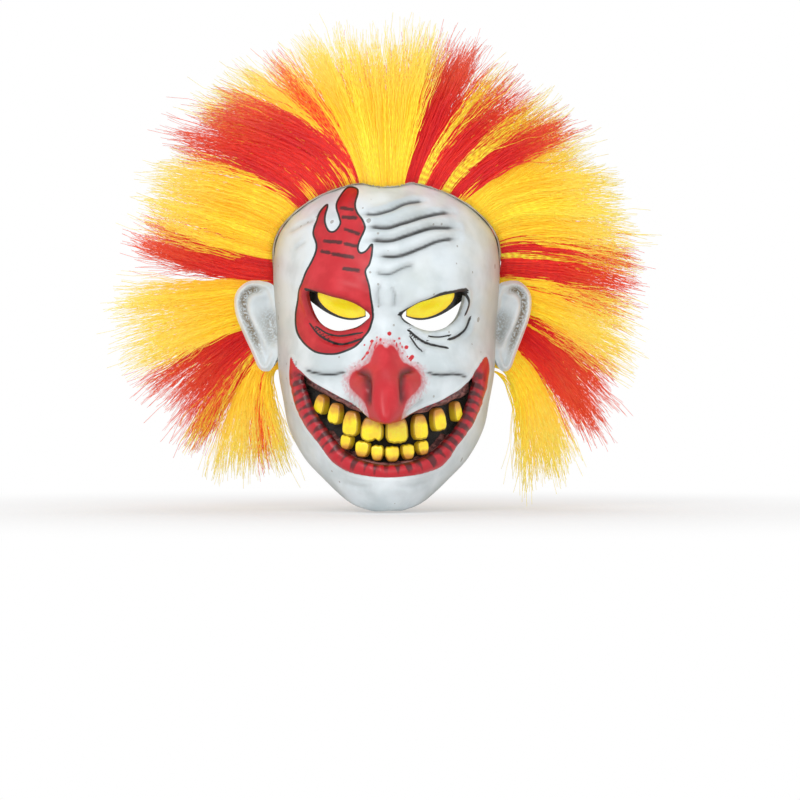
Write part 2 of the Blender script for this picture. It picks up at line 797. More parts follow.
@dataclass(frozen=True)
class LensPaint:
    """Yellow eye patch with a black painted edge."""

    def make(self) -> bpy.types.Material:
        """Build the material."""
        f = Finish("lens_paint", 0.3, coat=0.3)
        where = f.place()
        cloud = f.noise(120, where, 3.0)
        base = f.mix(f.fade(cloud, 0.35, 0.65), paint(255, 240, 40), paint(255, 226, 24))
        orange = f.fade(f.attr("rim"), 1.3, 3.2, 0.3, 0)
        base = f.mix(orange, base, paint(240, 160, 24))
        edge = f.plus(f.attr("rim"), f.times(f.noise(500, where), 0.4))
        base = f.mix(f.fade(edge, 1.25, 1.6, 1, 0), base, paint(12, 11, 10))
        f.colour(base, LENS_GLOW)
        f.roughness(f.fade(cloud, 0.3, 0.7, 0.24, 0.36))
        f.bump(f.noise(700, where), 0.15, 0.4)
        return f.mat


@dataclass(frozen=True)
class Fibre:
    """Crimped fibre hair in one colour, with a few fibres of the other."""

    name: str
    light: tuple
    deep: tuple
    tip: tuple
    other: tuple

    def make(self) -> bpy.types.Material:
        """Build the material."""
        f = Finish(self.name, 0.48, sheen=0.1)
        f.shader.inputs["Specular IOR Level"].default_value = 0.3
        tone, along = f.attr("tone"), f.attr("along")
        base = f.mix(f.fade(tone, 0.0, 0.9), paint(*self.deep), paint(*self.light))
        base = f.mix(f.fade(along, 0.55, 1.0, 0, 0.7), base, paint(*self.tip))
        base = f.mix(f.fade(along, 0.0, 0.28, 0.45, 0), base, paint(*self.deep))
        base = f.mix(f.fade(f.attr("stray"), 0.4, 0.6), base, paint(*self.other))
        crimp = f.math("SINE", f.times(f.attr("wave"), math.tau))
        base = f.mix(f.fade(crimp, -0.9, 0.9, 0.4, 0), base, paint(*self.deep))
        f.colour(base, HAIR_GLOW)
        f.roughness(f.fade(crimp, -1, 1, 0.38, 0.6))
        f.bump(crimp, 0.12, 0.5)
        return f.mat


@dataclass(frozen=True)
class Cloth:
    """Woven cloth, tape or elastic on the piece's own map."""

    name: str
    tone: tuple
    gap: tuple
    threads: float
    ribs: float = 0.0

    def make(self) -> bpy.types.Material:
        """Build the material."""
        f = Finish(self.name, 0.85, sheen=0.25)
        weave = f.group(WEAVE, Threads=self.threads)
        base = f.mix(weave.outputs["Gap"], paint(*self.tone), paint(*self.gap))
        base = f.mix(f.fade(f.noise(90, f.place()), 0.4, 0.7, 0, 0.3), base, paint(*self.gap))
        height = weave.outputs["Height"]
        if self.ribs:
            uv = f.add("ShaderNodeSeparateXYZ")
            f.feed(uv.inputs[0], f.add("ShaderNodeUVMap").outputs[0])
            cord = f.math("SINE", f.times(uv.outputs[1], self.ribs * math.tau))
            base = f.mix(f.fade(cord, -1.0, -0.3, 0.6, 0), base, paint(*self.gap))
            height = f.plus(height, cord)
        f.colour(base)
        f.roughness(f.fade(height, 0, 1, 0.95, 0.75))
        f.bump(height, 0.25, 0.8)
        return f.mat


@dataclass(frozen=True)
class Foam:
    """Open-cell foam, with pores of two sizes."""

    def make(self) -> bpy.types.Material:
        """Build the material."""
        f = Finish("open_foam", 0.92, sheen=0.1)
        cell = f.add("ShaderNodeTexVoronoi")
        f.feed(cell.inputs["Vector"], f.place())
        cell.inputs["Scale"].default_value = 620
        pore = f.fade(cell.outputs["Distance"], 0.15, 0.6)
        old = f.noise(40, f.place())
        base = f.mix(pore, paint(38, 38, 40), paint(88, 88, 92))
        base = f.mix(f.fade(old, 0.45, 0.7, 0, 0.35), base, paint(104, 98, 84))
        f.colour(base)
        f.roughness(f.fade(pore, 0, 1, 1.0, 0.85))
        f.bump(pore, 0.5, 0.8)
        return f.mat


@dataclass(frozen=True)
class Moulded:
    """Black moulded plastic with a fine spark finish and light scuffs."""

    def make(self) -> bpy.types.Material:
        """Build the material."""
        f = Finish("moulded_black", 0.35)
        cast = f.group(GRAIN, Size=2600.0, Slow=120.0)
        scuff = f.noise(300, f.stretch(f.place(), (0.2, 1, 2)), 4.0)
        base = f.mix(f.fade(scuff, 0.55, 0.7, 0, 0.4), paint(26, 26, 28), paint(84, 84, 86))
        f.colour(base)
        f.roughness(f.fade(scuff, 0.4, 0.7, 0.3, 0.55))
        f.bump(cast.outputs["Height"], 0.1, 0.5)
        return f.mat


# ---- Sculpted and painted lines of the face, on the front as x and z ----
@dataclass(frozen=True)
class Crease:
    """A groove pressed into the face and washed dark."""

    line: tuple
    deep: float = 1.6
    wide: float = 1.5
    dark: float = 0.9


CREASES = (
    Crease(((-17, 73), (-6, 72.5), (4, 76), (15, 80.5), (27, 82)), 1.9, 1.7),
    Crease(((-14, 64), (0, 63), (14, 67), (29, 72), (46, 75)), 2.2, 1.8, 1.0),
    Crease(((-13, 55), (2, 54), (15, 58), (30, 63), (49, 64)), 2.2, 1.8, 1.0),
    Crease(((-7, 44), (8, 43.5), (23, 49), (36, 54.5), (49, 56.5)), 2.0, 1.7, 0.95),
    Crease(((-8, 33), (2, 31.5), (12, 36), (20, 38)), 1.4, 1.5, 0.7),
    Crease(((-67, 62), (-58, 66.5), (-48, 70)), 0.9, 1.6, 0.35),
    Crease(((-62, 50), (-54, 55)), 0.7, 1.4, 0.3),
    Crease(((-4, 9), (-5.5, 18), (-3.5, 25)), 1.3, 1.4, 0.5),
    Crease(((5.5, 9), (6, 17), (3.5, 24)), 1.3, 1.4, 0.5),
    Crease(((-52, 1), (-47, -7), (-38, -13), (-29, -14.6), (-17, -11.6)), 1.6, 1.4, 0.2),
    Crease(((-46, -3), (-38, -8.5), (-28, -9.5), (-17, -7.6)), 1.3, 1.2, 0.2),
    Crease(((57, 3), (53, -6), (43, -12)), 1.7, 1.5, 0.6),
    Crease(((28.6, -9.8), (42, -9)), 1.0, 1.2, 0.3),
    Crease(((15, -6), (26, -13.5), (41, -17)), 1.5, 1.4, 0.6),
    Crease(((16, -11), (20, -16), (27, -20.6)), 0.9, 1.3, 0.5),
    Crease(((-56, -31), (-47, -34), (-36, -34.8), (-25, -33)), 1.5, 1.2, 0.95),
    Crease(((26, -33), (36, -35.5), (46, -34.5), (56, -37)), 1.5, 1.2, 0.95),
    Crease(((-27, -50), (-18, -56), (-11, -60)), 0.9, 1.2, 0.4),
    Crease(((26, -51), (18, -55.5), (11, -59)), 0.9, 1.2, 0.4),
    Crease(((-30, -107), (-18, -109.5), (-8, -108.5)), 0.7, 1.8, 0.15),
    Crease(((6, -108.5), (18, -109.5), (29, -106)), 0.7, 1.8, 0.15),
)
NOSTRILS = (((-17, -33), (-12.4, -35), (-11.2, -41), (-11.8, -49)),
            ((16.5, -32), (11.6, -34), (11, -40), (11.6, -48)))
NOSE = [(-4, -15), (-8.5, -21), (-10.5, -27), (-15, -29.5), (-21, -33), (-24.3, -40), (-21.5, -46),
        (-14.5, -50.5), (-11, -56), (-9.6, -61.5), (-5, -65.6), (0, -66.6), (5, -65.6),
        (9.6, -61), (11, -55), (14.5, -49.5), (21, -45.5), (23.6, -39), (21, -32), (15, -28.5),
        (10.5, -26), (8, -20), (4, -15.5), (0.5, -17.5)]
DROPS = ((2.3, -8, 1.5), (-3.5, -12, 1.1), (-9.3, -13, 1.3), (-5.8, -10.5, 0.8), (9, -11, 1.0),
         (13.5, -17, 1.4), (-12.3, -20.5, 1.2), (17.3, -23.5, 1.5), (5.6, -13, 0.9),
         (-1.6, -14.4, 0.8), (-14.2, -15.4, 0.7), (11.2, -21, 0.8))
STREAKS = (((-9.8, -15), (-11, -18)), ((9.6, -14), (10.8, -17.5)), ((-6, -13.5), (-7.6, -18.5)),
           ((6.8, -14), (8.2, -19)), ((-13.6, -22), (-16, -25.5)), ((14, -23), (16.5, -26)))
FLAME = [(-20, 91), (-25.5, 92), (-30.5, 87), (-33.5, 79), (-31.5, 71), (-30.4, 66), (-33.5, 61.3),
         (-38, 61), (-40.8, 66), (-41, 72), (-39.6, 80), (-43.5, 76.5), (-47, 68), (-48.8, 60),
         (-46.8, 53), (-47.4, 46), (-52.5, 36), (-57.3, 25), (-60, 13), (-61.4, 1), (-59.6, -7),
         (-55, -14), (-47.5, -19.6), (-39, -21.3), (-30, -20.4), (-21, -16.8), (-14.4, -10),
         (-9.6, -2), (-8, 6), (-9.8, 15), (-11.2, 24), (-13.6, 33), (-11, 38), (-9.4, 44),
         (-9, 51.5), (-13, 47), (-17, 45.8), (-18.8, 49), (-17, 55), (-14, 62), (-15.6, 68),
         (-19.6, 74), (-20.8, 80), (-19, 87)]
BRUSH = (((-30, 77), (-22.6, 75.4)), ((-29, 70.5), (-20, 69.6)), ((-27, 62), (-18, 58.6)),
         ((-41, 54.5), (-30, 53)), ((-36, 45.5), (-22, 43)), ((-27, 52), (-19.5, 50.5)),
         ((-43, 47.5), (-38, 46.5)), ((-28, 35.5), (-18, 34)))
INK = (
    (((-51.8, 22.5), (-40, 17.5), (-30, 13.5), (-20, 9), (-12, 4.2)), 1),
    (((9, 5.8), (17, 10.2), (27, 15), (38, 19.5), (52, 22)), 1.5),
    (((51.5, 21.5), (54.5, 14), (52.5, 6)), 0.8),
    (((-51, -1), (-46, -7.5), (-38, -12.4), (-29, -14.6), (-17, -11.6)), 0.69),
    (((-46, -3), (-38, -8.2), (-28, -9.2), (-16, -7.4)), 0.57),
    (((57, 3.5), (53.4, -5), (47, -9.6), (42, -11.4)), 0.86),
    (((28.6, -9.8), (36, -9.9), (42.4, -8.8)), 0.52),
    (((15, -5.8), (20, -9.8), (28, -14), (41, -17)), 0.69),
    (((16, -10), (20.5, -16), (24, -19)), 0.45),
    (((-12, 4.4), (-14, 0), (-20, -4.4)), 0.57),
    (((9.2, 5), (12, 0.4), (18, -2.6)), 0.5),
)
LIPS_OUT = [(-64, -23), (-60.5, -29), (-53.5, -36), (-47.5, -40.6), (-36.4, -46.8), (-24.5, -52.6),
            (-10, -59.6), (0, -62), (9, -61), (23, -57), (35, -53), (47.5, -46), (56, -38.5),
            (62, -29), (68, -22.5), (69.4, -33), (65.5, -50), (58, -68), (46.5, -83), (37, -96),
            (21, -101.5), (0, -103.6), (-20, -101), (-33, -95), (-43, -83), (-54, -69),
            (-61.5, -53), (-64.2, -38)]


class Side(Enum):
    """Which piece of the skin a face of the grid belongs to."""

    FACE = 0
    JAW = 1


@dataclass
class Skin:
    """The latex skin: fixed face and flexing jaw, cut from one sculpted sheet."""

    cols: int = 236
    rows: int = 216
    wall: float = 2.5
    snap: float = 0.82
    lip_roll: float = 3.4
    droop: float = 11.0
    loops: dict = field(default_factory=dict)

    def __post_init__(self) -> None:
        """Round the loops that are cut or painted."""
        eye = [(EYE_INNER + x, z) for x, z in EYE]
        self.loops = {
            "right": rounded(eye, True), "left": rounded([(-x, z) for x, z in eye], True),
            "mouth": rounded(LIP_TOP + LIP_LOW[::-1][1:-1], True, 3),
            "blaze": rounded(FLAME, True, 4), "nose": rounded(NOSE, True, 4),
            "lips": rounded(LIPS_OUT, True, 4)}

    def sheet_angles(self) -> Points:
        """Bearings of the grid's columns, closest over the face."""
        a = np.linspace(-180, 180, 3601)
        weight = np.where(np.abs(a) < 66, 1.75, np.where(np.abs(a) < 95, 1.0, 0.5))
        run = np.concatenate([[0], np.cumsum((weight[1:] + weight[:-1]) / 2)])
        return np.interp(np.linspace(0, run[-1], self.cols + 1), run, a)

    def open_height(self, a: Points) -> Points:
        """Lowest height of the latex at each bearing, along the open back."""
        z = np.arange(-126.4, 117, 0.25)
        cut = np.interp(z, [-127, -45, 50, 60], [-60, 25, 90, 300])
        low = []
        for turn in a:
            gone = HEAD.skin(np.full(len(z), turn), z)[:, 1] > cut
            low.append(z[np.nonzero(gone)[0].max()] if gone.any() else z[0])
        return np.array(low)

    def lay_out(self, uv: Points) -> tuple[Points, Points]:
        """Bearing and height of each point of the unit square."""
        columns = self.sheet_angles()
        at = uv[:, 0] * self.cols
        a = np.interp(at, np.arange(self.cols + 1), columns)
        low = np.interp(at, np.arange(self.cols + 1), self.open_height(columns))
        z = np.linspace(-126.4, 118, 2000)
        slope = np.gradient(HEAD.half(z), z)
        pace = np.sqrt(1 + np.minimum(slope**2, 16) * 0.5)
        run = np.concatenate([[0], np.cumsum((pace[1:] + pace[:-1]) / 2)])
        start = np.interp(low, z, run)
        return a, np.interp(start + (run[-1] - start) * uv[:, 1], run, z)

    def snapped(self, a: Points, z: Points) -> tuple[Points, Points, dict]:
        """Pull grid points near an opening or the jaw seam onto its line.

        Args:
            a: Bearings.
            z: Heights.

        Returns:
            The new bearings and heights, and each point's distance from each loop.
        """
        front = np.abs(a) < 80
        x = HEAD.half(z) * np.sin(np.radians(a))
        flat = np.stack([x, z], 1)
        far = np.full(len(a), 60.0)
        seam = (np.abs(x) > 57) | (np.abs(a) > 80)
        pull = seam & (np.abs(z - SEAM_Z) < self.snap)
        z = np.where(pull, SEAM_Z, z)
        flat[:, 1] = z
        away = {}
        for key in ("right", "left", "mouth"):
            loop = self.loops[key]
            d = far.copy()
            d[front] = signed(flat[front], loop)
            close = front & (np.abs(d) < self.snap)
            flat[close] = at_length(loop, near(flat[close], loop, True)[1], True)
            d[close] = 0
            away[key] = d
        moved = np.any(np.abs(flat - np.stack([x, z], 1)) > 1e-9, axis=1) & front
        a = np.where(moved, HEAD.bearing(flat[:, 0], flat[:, 1]), a)
        return a, flat[:, 1], away

    def carve(self, flat: Points, mouth: Points) -> Points:
        """Height of the sculpted detail over the plain relief."""
        h = np.zeros(len(flat))
        for crease in CREASES:
            line = rounded(list(crease.line))
            d, along = near(flat, line)
            size = float(np.hypot(*np.diff(line, axis=0).T).sum())
            taper = np.sqrt(np.clip(np.sin(np.pi * np.clip(along / size, 0.04, 0.96)), 0, 1))
            h -= crease.deep * bell(d, crease.wide * 0.62) * taper
            h += crease.deep * 0.5 * bell(d - 2.1 * crease.wide, crease.wide) * taper
        for line in NOSTRILS:
            h -= 2.6 * bell(near(flat, rounded(list(line)))[0], 1.3)
        eyes = np.minimum(signed(flat, self.loops["left"]), signed(flat, self.loops["right"]))
        above = ease(flat[:, 1], 2, 8)
        h += (1.0 + 1.3 * above) * bell(eyes - 2.2, 1.9)
        out = signed(flat, self.loops["lips"])
        inner, outer = np.maximum(mouth, 0), np.maximum(-out, 0)
        across = inner / np.maximum(inner + outer, 1e-6)
        ribs = near(flat, rounded(MOUTH_MID))[1]
        roll = np.sqrt(np.clip(1 - (2 * across - 1) ** 2, 0, 1)) * (out < 0)
        deep = ease(inner + outer, 1.5, 7)
        h += roll * deep * (self.lip_roll + 0.4 * np.sin(ribs * math.tau / 5.2) * (
            0.5 + 0.5 * np.sin(ribs * 0.37)))
        h += 0.5 * bell(out - 1.2, 0.9)
        h += 0.35 * np.sin(flat[:, 0] * 0.31 + flat[:, 1] * 0.17) * np.sin(flat[:, 1] * 0.23)
        return h

    def painted(self, flat: Points, mouth: Points, front: Points) -> dict:
        """Distances and washes that the paint reads.

        Args:
            flat: x and z of each point.
            mouth: Distance from the mouth's edge.
            front: Which points are on the painted front.

        Returns:
            Named numbers for each point.
        """
        n = len(flat)
        kept = {"wash": np.zeros(n), "nose_wash": np.zeros(n), "rib": np.zeros(n)}
        for key in ("blaze", "lips", "nose", "brush", "drops", "ink", "beam", "gap"):
            kept[key] = np.full(n, 40.0)
        p = flat[front]
        wash = np.zeros(len(p))
        for crease in CREASES:
            line = rounded(list(crease.line))
            d, along = near(p, line)
            size = float(np.hypot(*np.diff(line, axis=0).T).sum())
            taper = np.clip(np.sin(np.pi * np.clip(along / size, 0.02, 0.98)) * 3.0, 0, 1)
            wash = np.maximum(wash, crease.dark * bell(d, crease.wide * 0.62) * taper)
            wash = np.maximum(wash, crease.dark * 0.4 * bell(d, crease.wide * 1.7) * taper)
        eyes = np.minimum(signed(p, self.loops["left"]), signed(p, self.loops["right"]))
        kept["wash"][front] = np.maximum(wash, 0.55 * bell(np.maximum(eyes, 0), 1.4))
        for key in ("blaze", "lips", "nose"):
            kept[key][front] = signed(p, self.loops[key])
        kept["gap"][front] = mouth[front]
        kept["rib"][front] = near(p, rounded(MOUTH_MID))[1]
        dark = np.zeros(len(p))
        for line in NOSTRILS:
            dark = np.maximum(dark, bell(near(p, rounded(list(line)))[0], 1.7))
        dark = np.maximum(dark, 0.9 * bell(near(p, np.array([(-13, -36), (-12, -42)]))[0], 2.2))
        kept["nose_wash"][front] = dark
        kept["brush"][front] = np.min([near(p, np.array(b))[0] - 0.9 for b in BRUSH], 0)
        spots = [np.hypot(*(p - (x, z)).T) - r for x, z, r in DROPS]
        kept["drops"][front] = np.min(
            spots + [near(p, np.array(s))[0] - 0.55 for s in STREAKS], 0)
        ink, beam = np.full(len(p), 40.0), np.full(len(p), 9.0)
        for line, half in INK:
            d = beside(p, rounded(list(line)))
            closer = np.abs(d) - half < ink
            ink, beam = np.where(closer, np.abs(d) - half, ink), np.where(closer, d / half, beam)
        kept["ink"][front], kept["beam"][front] = ink, beam
        return kept

    def cut(self, bm: bmesh.types.BMesh, away: dict, side: Side, seam: Points,
            flat: Points) -> None:
        """Keep one side of the seam, and open the eyes and mouth.

        Args:
            bm: The sheet.
            away: Distance of each point from each opening.
            side: The side to keep.
            seam: How far above the seam each point is.
            flat: x and z of each point.
        """
        bm.verts.ensure_lookup_table()
        split = []
        for f in bm.faces:
            for d in (*away.values(), seam):
                v = [d[q.index] for q in f.verts]
                if len(v) == 4 and min(v) < -0.01 and max(v) > 0.01:
                    zero = [i for i in range(4) if abs(v[i]) < 0.011]
                    if len(zero) == 2 and zero[1] - zero[0] == 2:
                        split.append((f, f.verts[zero[0]], f.verts[zero[1]]))
                        break
        for f, p, q in split:
            bmesh.utils.face_split(f, p, q)
        drop = []
        for f in bm.faces:
            ids = [v.index for v in f.verts]
            middle = flat[ids].mean(0)[None]
            holed = any(np.mean(d[ids]) < -0.01 or (
                np.abs(d[ids]).max() < 0.011 and signed(middle, self.loops[key])[0] < 0)
                for key, d in away.items())
            upper = np.mean(seam[ids]) > 0
            if holed or upper != (side is Side.FACE):
                drop.append(f)
        bmesh.ops.delete(bm, geom=drop, context="FACES")

    def make(self) -> tuple[bpy.types.Object, bpy.types.Object]:
        """Build both pieces of skin."""
        start = grid(self.cols, self.rows)
        uv = places(start)[:, :2]
        start.free()
        a, z = self.lay_out(uv)
        a, z, away = self.snapped(a, z)
        x = HEAD.half(z) * np.sin(np.radians(a))
        flat = np.stack([x, z], 1)
        front = np.abs(a) < 84
        co = HEAD.skin(a, z)
        h = np.zeros(len(a))
        h[front] = self.carve(flat[front], away["mouth"][front])
        h *= ease(np.cos(np.radians(a)), 0.05, 0.3)
        top = uv[:, 1] > 1 - 1e-4
        n = HEAD.outward(a, np.minimum(z, 117))
        n[top] = (0, 0, 1)
        co = co + n * h[:, None]
        co[:, 2] -= np.where(front, self.droop * bell(x, 9.5) * bell(z + 54.5, 6.5), 0)
        co[top] = (0, 1.5, 118.2)
        kept = self.painted(flat, away["mouth"], front)
        kept["edge"] = ease(np.abs(a), 52, 88) * (np.abs(a) < 110)
        mid = np.interp(x, *np.array(MOUTH_MID).T)
        seam = np.where((np.abs(x) < 57) & front, z - mid, z - SEAM_Z)
        inside = BareLatex("latex_inner", (206, 204, 190), (176, 170, 150)).make()
        paint_mat = PaintedLatex().make()
        made = []
        for side, name, body, node in ((Side.FACE, "face_skin", "head", "face_shell"),
                                       (Side.JAW, "jaw_skin", None, "jaw_shell")):
            bm = grid(self.cols, self.rows)
            for key, numbers in kept.items():
                keep(bm, key, numbers)
            inward = bm.verts.layers.float_vector.new("inward")
            put_places(bm, co)
            for v, way in zip(bm.verts, -n):
                v[inward] = way
            self.cut(bm, away, side, seam, flat)
            loose = [v for v in bm.verts if not v.link_faces]
            bmesh.ops.delete(bm, geom=loose, context="VERTS")
            bmesh.ops.remove_doubles(bm, verts=bm.verts, dist=0.004)
            bmesh.ops.dissolve_degenerate(bm, dist=0.002, edges=bm.edges)
            wires = [e for e in bm.edges if not e.link_faces]
            bmesh.ops.delete(bm, geom=wires, context="EDGES")
            bmesh.ops.recalc_face_normals(bm, faces=bm.faces)
            if sum(f.normal.y for f in bm.faces) > 0:
                bmesh.ops.reverse_faces(bm, faces=bm.faces)
            walled(bm, self.wall, 1)
            obj = finished(name, bm, body, paint_mat, (node,), False)
            obj.data.materials.append(inside)
            obj.data.set_sharp_from_angle(angle=math.radians(RIM_ANGLE))
            made.append(obj)
        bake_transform(made[1])
        return made[0], made[1]


@dataclass
class Ears:
    """Sculpted ears: rolled rim, inner fold, bowl and lobe."""

    outline: tuple = ((2, -11), (6, -25), (11, -32), (18, -30), (23, -20), (30, -6), (36, 9),
                      (36, 22), (28, 30), (17, 31), (6, 24))
    fold: tuple = ((11, -16), (15, -8), (21, 2), (25, 12), (22, 20), (14, 22))
    bowl: tuple = ((9, -6), (12, 4))
    cols: int = 34
    rows: int = 56

    def make(self, finish: bpy.types.Material) -> None:
        """Build both ears."""
        loop = rounded(list(self.outline), True, 6)
        for sign, name in ((-1, "ear_left"), (1, "ear_right")):
            bm = grid(self.cols, self.rows)
            uv = places(bm)[:, :2]
            z = loop[:, 1].min() + 0.25 + (np.ptp(loop[:, 1]) - 0.5) * (
                0.5 - 0.5 * np.cos(np.pi * uv[:, 1]))
            low, high = self.span(loop, z)
            p = low + (high - low) * (0.5 - 0.5 * np.cos(np.pi * uv[:, 0]))
            flat = np.stack([p, z], 1)
            d = -signed(flat, loop)
            rim = ease(p, 6, 14)
            h = 3.6 * bell(d - 3.0, 1.7) * rim - 2.6 * bell(d - 7.0, 2.0) * rim
            h += 3.0 * bell(near(flat, rounded(list(self.fold)))[0], 2.3)
            h -= 7.5 * bell(near(flat, rounded(list(self.bowl)))[0], 5.0)
            h += 2.2 * bell(np.hypot(p - 7, z + 3), 3.0) + 1.6 * bell(np.hypot(p - 14, z + 25), 6)
            wide = 0.96 if sign < 0 else 0.82
            co = np.stack([sign * (71 + wide * p + 0.25 * h), 0.5 + 0.55 * p - 1.6 - 0.95 * h, z], 1)
            put_places(bm, co)
            dark = bell(d - 6.4, 1.5) * ease(p, 14, 24)
            dark = np.maximum(dark, 0.5 * bell(near(flat, rounded(list(self.bowl)))[0], 4))
            keep(bm, "fold", dark)
            obj = finished(name, bm, "head", finish)
            if obj.data.polygons[len(obj.data.polygons) // 2].normal.y > 0:
                obj.data.flip_normals()
            thicken(obj, 3.2)

    def span(self, loop: Points, z: Points) -> tuple[Points, Points]:
        """Where level lines enter and leave the outline."""
        low, high = np.full(len(z), 1e9), np.full(len(z), -1e9)
        for (x0, z0), (x1, z1) in zip(loop, np.roll(loop, -1, 0)):
            hit = (np.minimum(z0, z1) <= z) & (z <= np.maximum(z0, z1))
            x = x0 + (x1 - x0) * np.clip((z - z0) / (z1 - z0 + 1e-9), 0, 1)
            low, high = np.where(hit, np.minimum(low, x), low), np.where(hit, np.maximum(high, x), high)
        return low, high


# ---- Lenses, gums, teeth and the cloth behind them ----
SEAT = 0.35
LENS_LOW = [(12, 4), (22, 1.5), (32, 3.2), (42, 8), (54, 17)]
LENS_TOP = [(12, 12), (22, 20), (32, 24), (42, 26), (54, 26)]
ROOT_TOP = [(-58, -38), (-48, -44.7), (-39.5, -48.8), (-34, -52.2), (-29.4, -53.8),
            (-24.5, -57.2), (-9.5, -62.1), (8, -63), (18, -61.2), (28, -59.6), (31, -57),
            (40, -54.8), (44.2, -52), (51.4, -50), (58, -45)]
ROOT_LOW = [(-46, -63.5), (-37, -75.5), (-27, -85.6), (-15, -91), (0, -93.8), (16, -91.8),
            (27, -88.8), (38, -79), (48, -67)]


@dataclass(frozen=True)
class Tooth:
    """One cast tooth: where it stands, its size and how it leans."""

    name: str
    x: float
    z: float
    width: float
    height: float
    lean: float
    up: int
    thick: float = 6.5
    root: float = 0.66
    edge: float = 0.88
    notch: float = 0.0
    cuts: int = 8

    def outline(self, flat: Points) -> Points:
        """Distance in front view from the tooth's edge, below zero inside."""
        turn = math.radians(self.lean)
        dx, dz = flat[:, 0] - self.x, flat[:, 1] - self.z
        lx = dx * math.cos(turn) - dz * math.sin(turn)
        lz = dx * math.sin(turn) + dz * math.cos(turn)
        q = (np.abs(lx / self.width * 2) ** 2.8 + np.abs(lz / self.height * 2) ** 2.8) ** (1 / 2.8)
        return (q - 1) * min(self.width, self.height) / 2

    def shape(self, p: Points) -> Points:
        """Turn a cube's surface into the tooth, standing at the origin."""
        flat = (np.abs(p[:, 0]) ** 3.8 + np.abs(p[:, 2]) ** 3.8) ** (-1 / 3.8)
        reach = (np.abs(p) ** 5).sum(1) ** (-1 / 5)
        q = p * np.minimum(reach, flat)[:, None]
        rise = q[:, 2] * self.up
        belly = np.interp(rise, [-1, -0.55, 0.15, 1], [self.edge, 1.0, 0.97, self.root])
        x = q[:, 0] * belly * self.width * 0.53
        z = q[:, 2] * self.height * 0.52
        bite = ease(-rise, 0.5, 1.0)
        z += self.up * bite * self.notch * bell(x - 0.16 * self.width, 1.25)
        z += self.up * bite * 0.25 * np.sin(x * 1.7 + self.x)
        y = (q[:, 1] + 1) * self.thick / 2
        face = ease(-q[:, 1], 0.2, 1.0)
        y += face * (0.5 * (1 - belly) * 3 + 0.22 * bell(np.abs(x) - self.width * 0.2, 0.9)
                     * ease(-rise, -0.6, 0.8))
        return np.stack([x, y, z], 1)

    def make(self, finish: bpy.types.Material, body: str) -> None:
        """Build the tooth in its place."""
        bm = bmesh.new()
        bmesh.ops.create_cube(bm, size=2)
        bmesh.ops.subdivide_edges(bm, edges=bm.edges, cuts=self.cuts, use_grid_fill=True)
        p = places(bm)
        co = self.shape(p)
        rise = p[:, 2] * self.up
        side = np.minimum(1, (np.abs(p[:, 0]) ** 4 + np.abs(p[:, 2]) ** 4) ** 0.25)
        side = np.maximum(side, ease(p[:, 1], -0.9, -0.2))
        a = HEAD.bearing(np.array([self.x]), np.array([self.z]))
        n = HEAD.outward(a, np.array([self.z]), False)[0]
        turn, lean = math.atan2(n[0], -n[1]), math.radians(self.lean)
        x, z = (co[:, 0] * math.cos(lean) + co[:, 2] * math.sin(lean),
                co[:, 2] * math.cos(lean) - co[:, 0] * math.sin(lean))
        y = co[:, 1] + 0.05
        foot = HEAD.skin(a, np.array([self.z]), False)[0]
        foot[1] += (2.5 + SEAT) / math.hypot(n[0], n[1])
        co = np.stack([foot[0] + x * math.cos(turn) - y * math.sin(turn),
                       foot[1] + x * math.sin(turn) + y * math.cos(turn), foot[2] + z], 1)
        put_places(bm, co)
        keep(bm, "root", (rise + 1) / 2)
        keep(bm, "side", side)
        finished(self.name + "_cast", bm, body, finish, (self.name,))


UPPER = ((-45.5, -54.8, 10, 12.4, 20), (-35.4, -61, 10, 13.6, 12), (-24.2, -67.6, 11.4, 16.2, 6),
         (-9.6, -71.4, 14.6, 16.2, 2), (7.6, -72, 14.4, 17, -2), (23.6, -70, 10.8, 16.4, -5),
         (36.6, -65, 11, 15, -10), (49.4, -59.6, 8, 13.2, -14))
LOWER = ((-27.6, -80.2, 8.3, 9.2, 12), (-16.4, -84.8, 9.7, 10.4, 6), (-6, -87.3, 8.1, 10.1, 2),
         (4.4, -88, 9.3, 10, -2), (15.4, -86.6, 8.5, 9.8, -6), (25.6, -84, 8.3, 9.2, -10))
TEETH = tuple(Tooth(f"upper_tooth_{i + 1}", *t, 1, notch=1.9 if i == 3 else 0.0,
                    root=0.84 if i == 4 else 0.7) for i, t in enumerate(UPPER)) + tuple(
    Tooth(f"lower_tooth_{i + 1}", *t, -1, root=0.66, edge=0.97) for i, t in enumerate(LOWER))


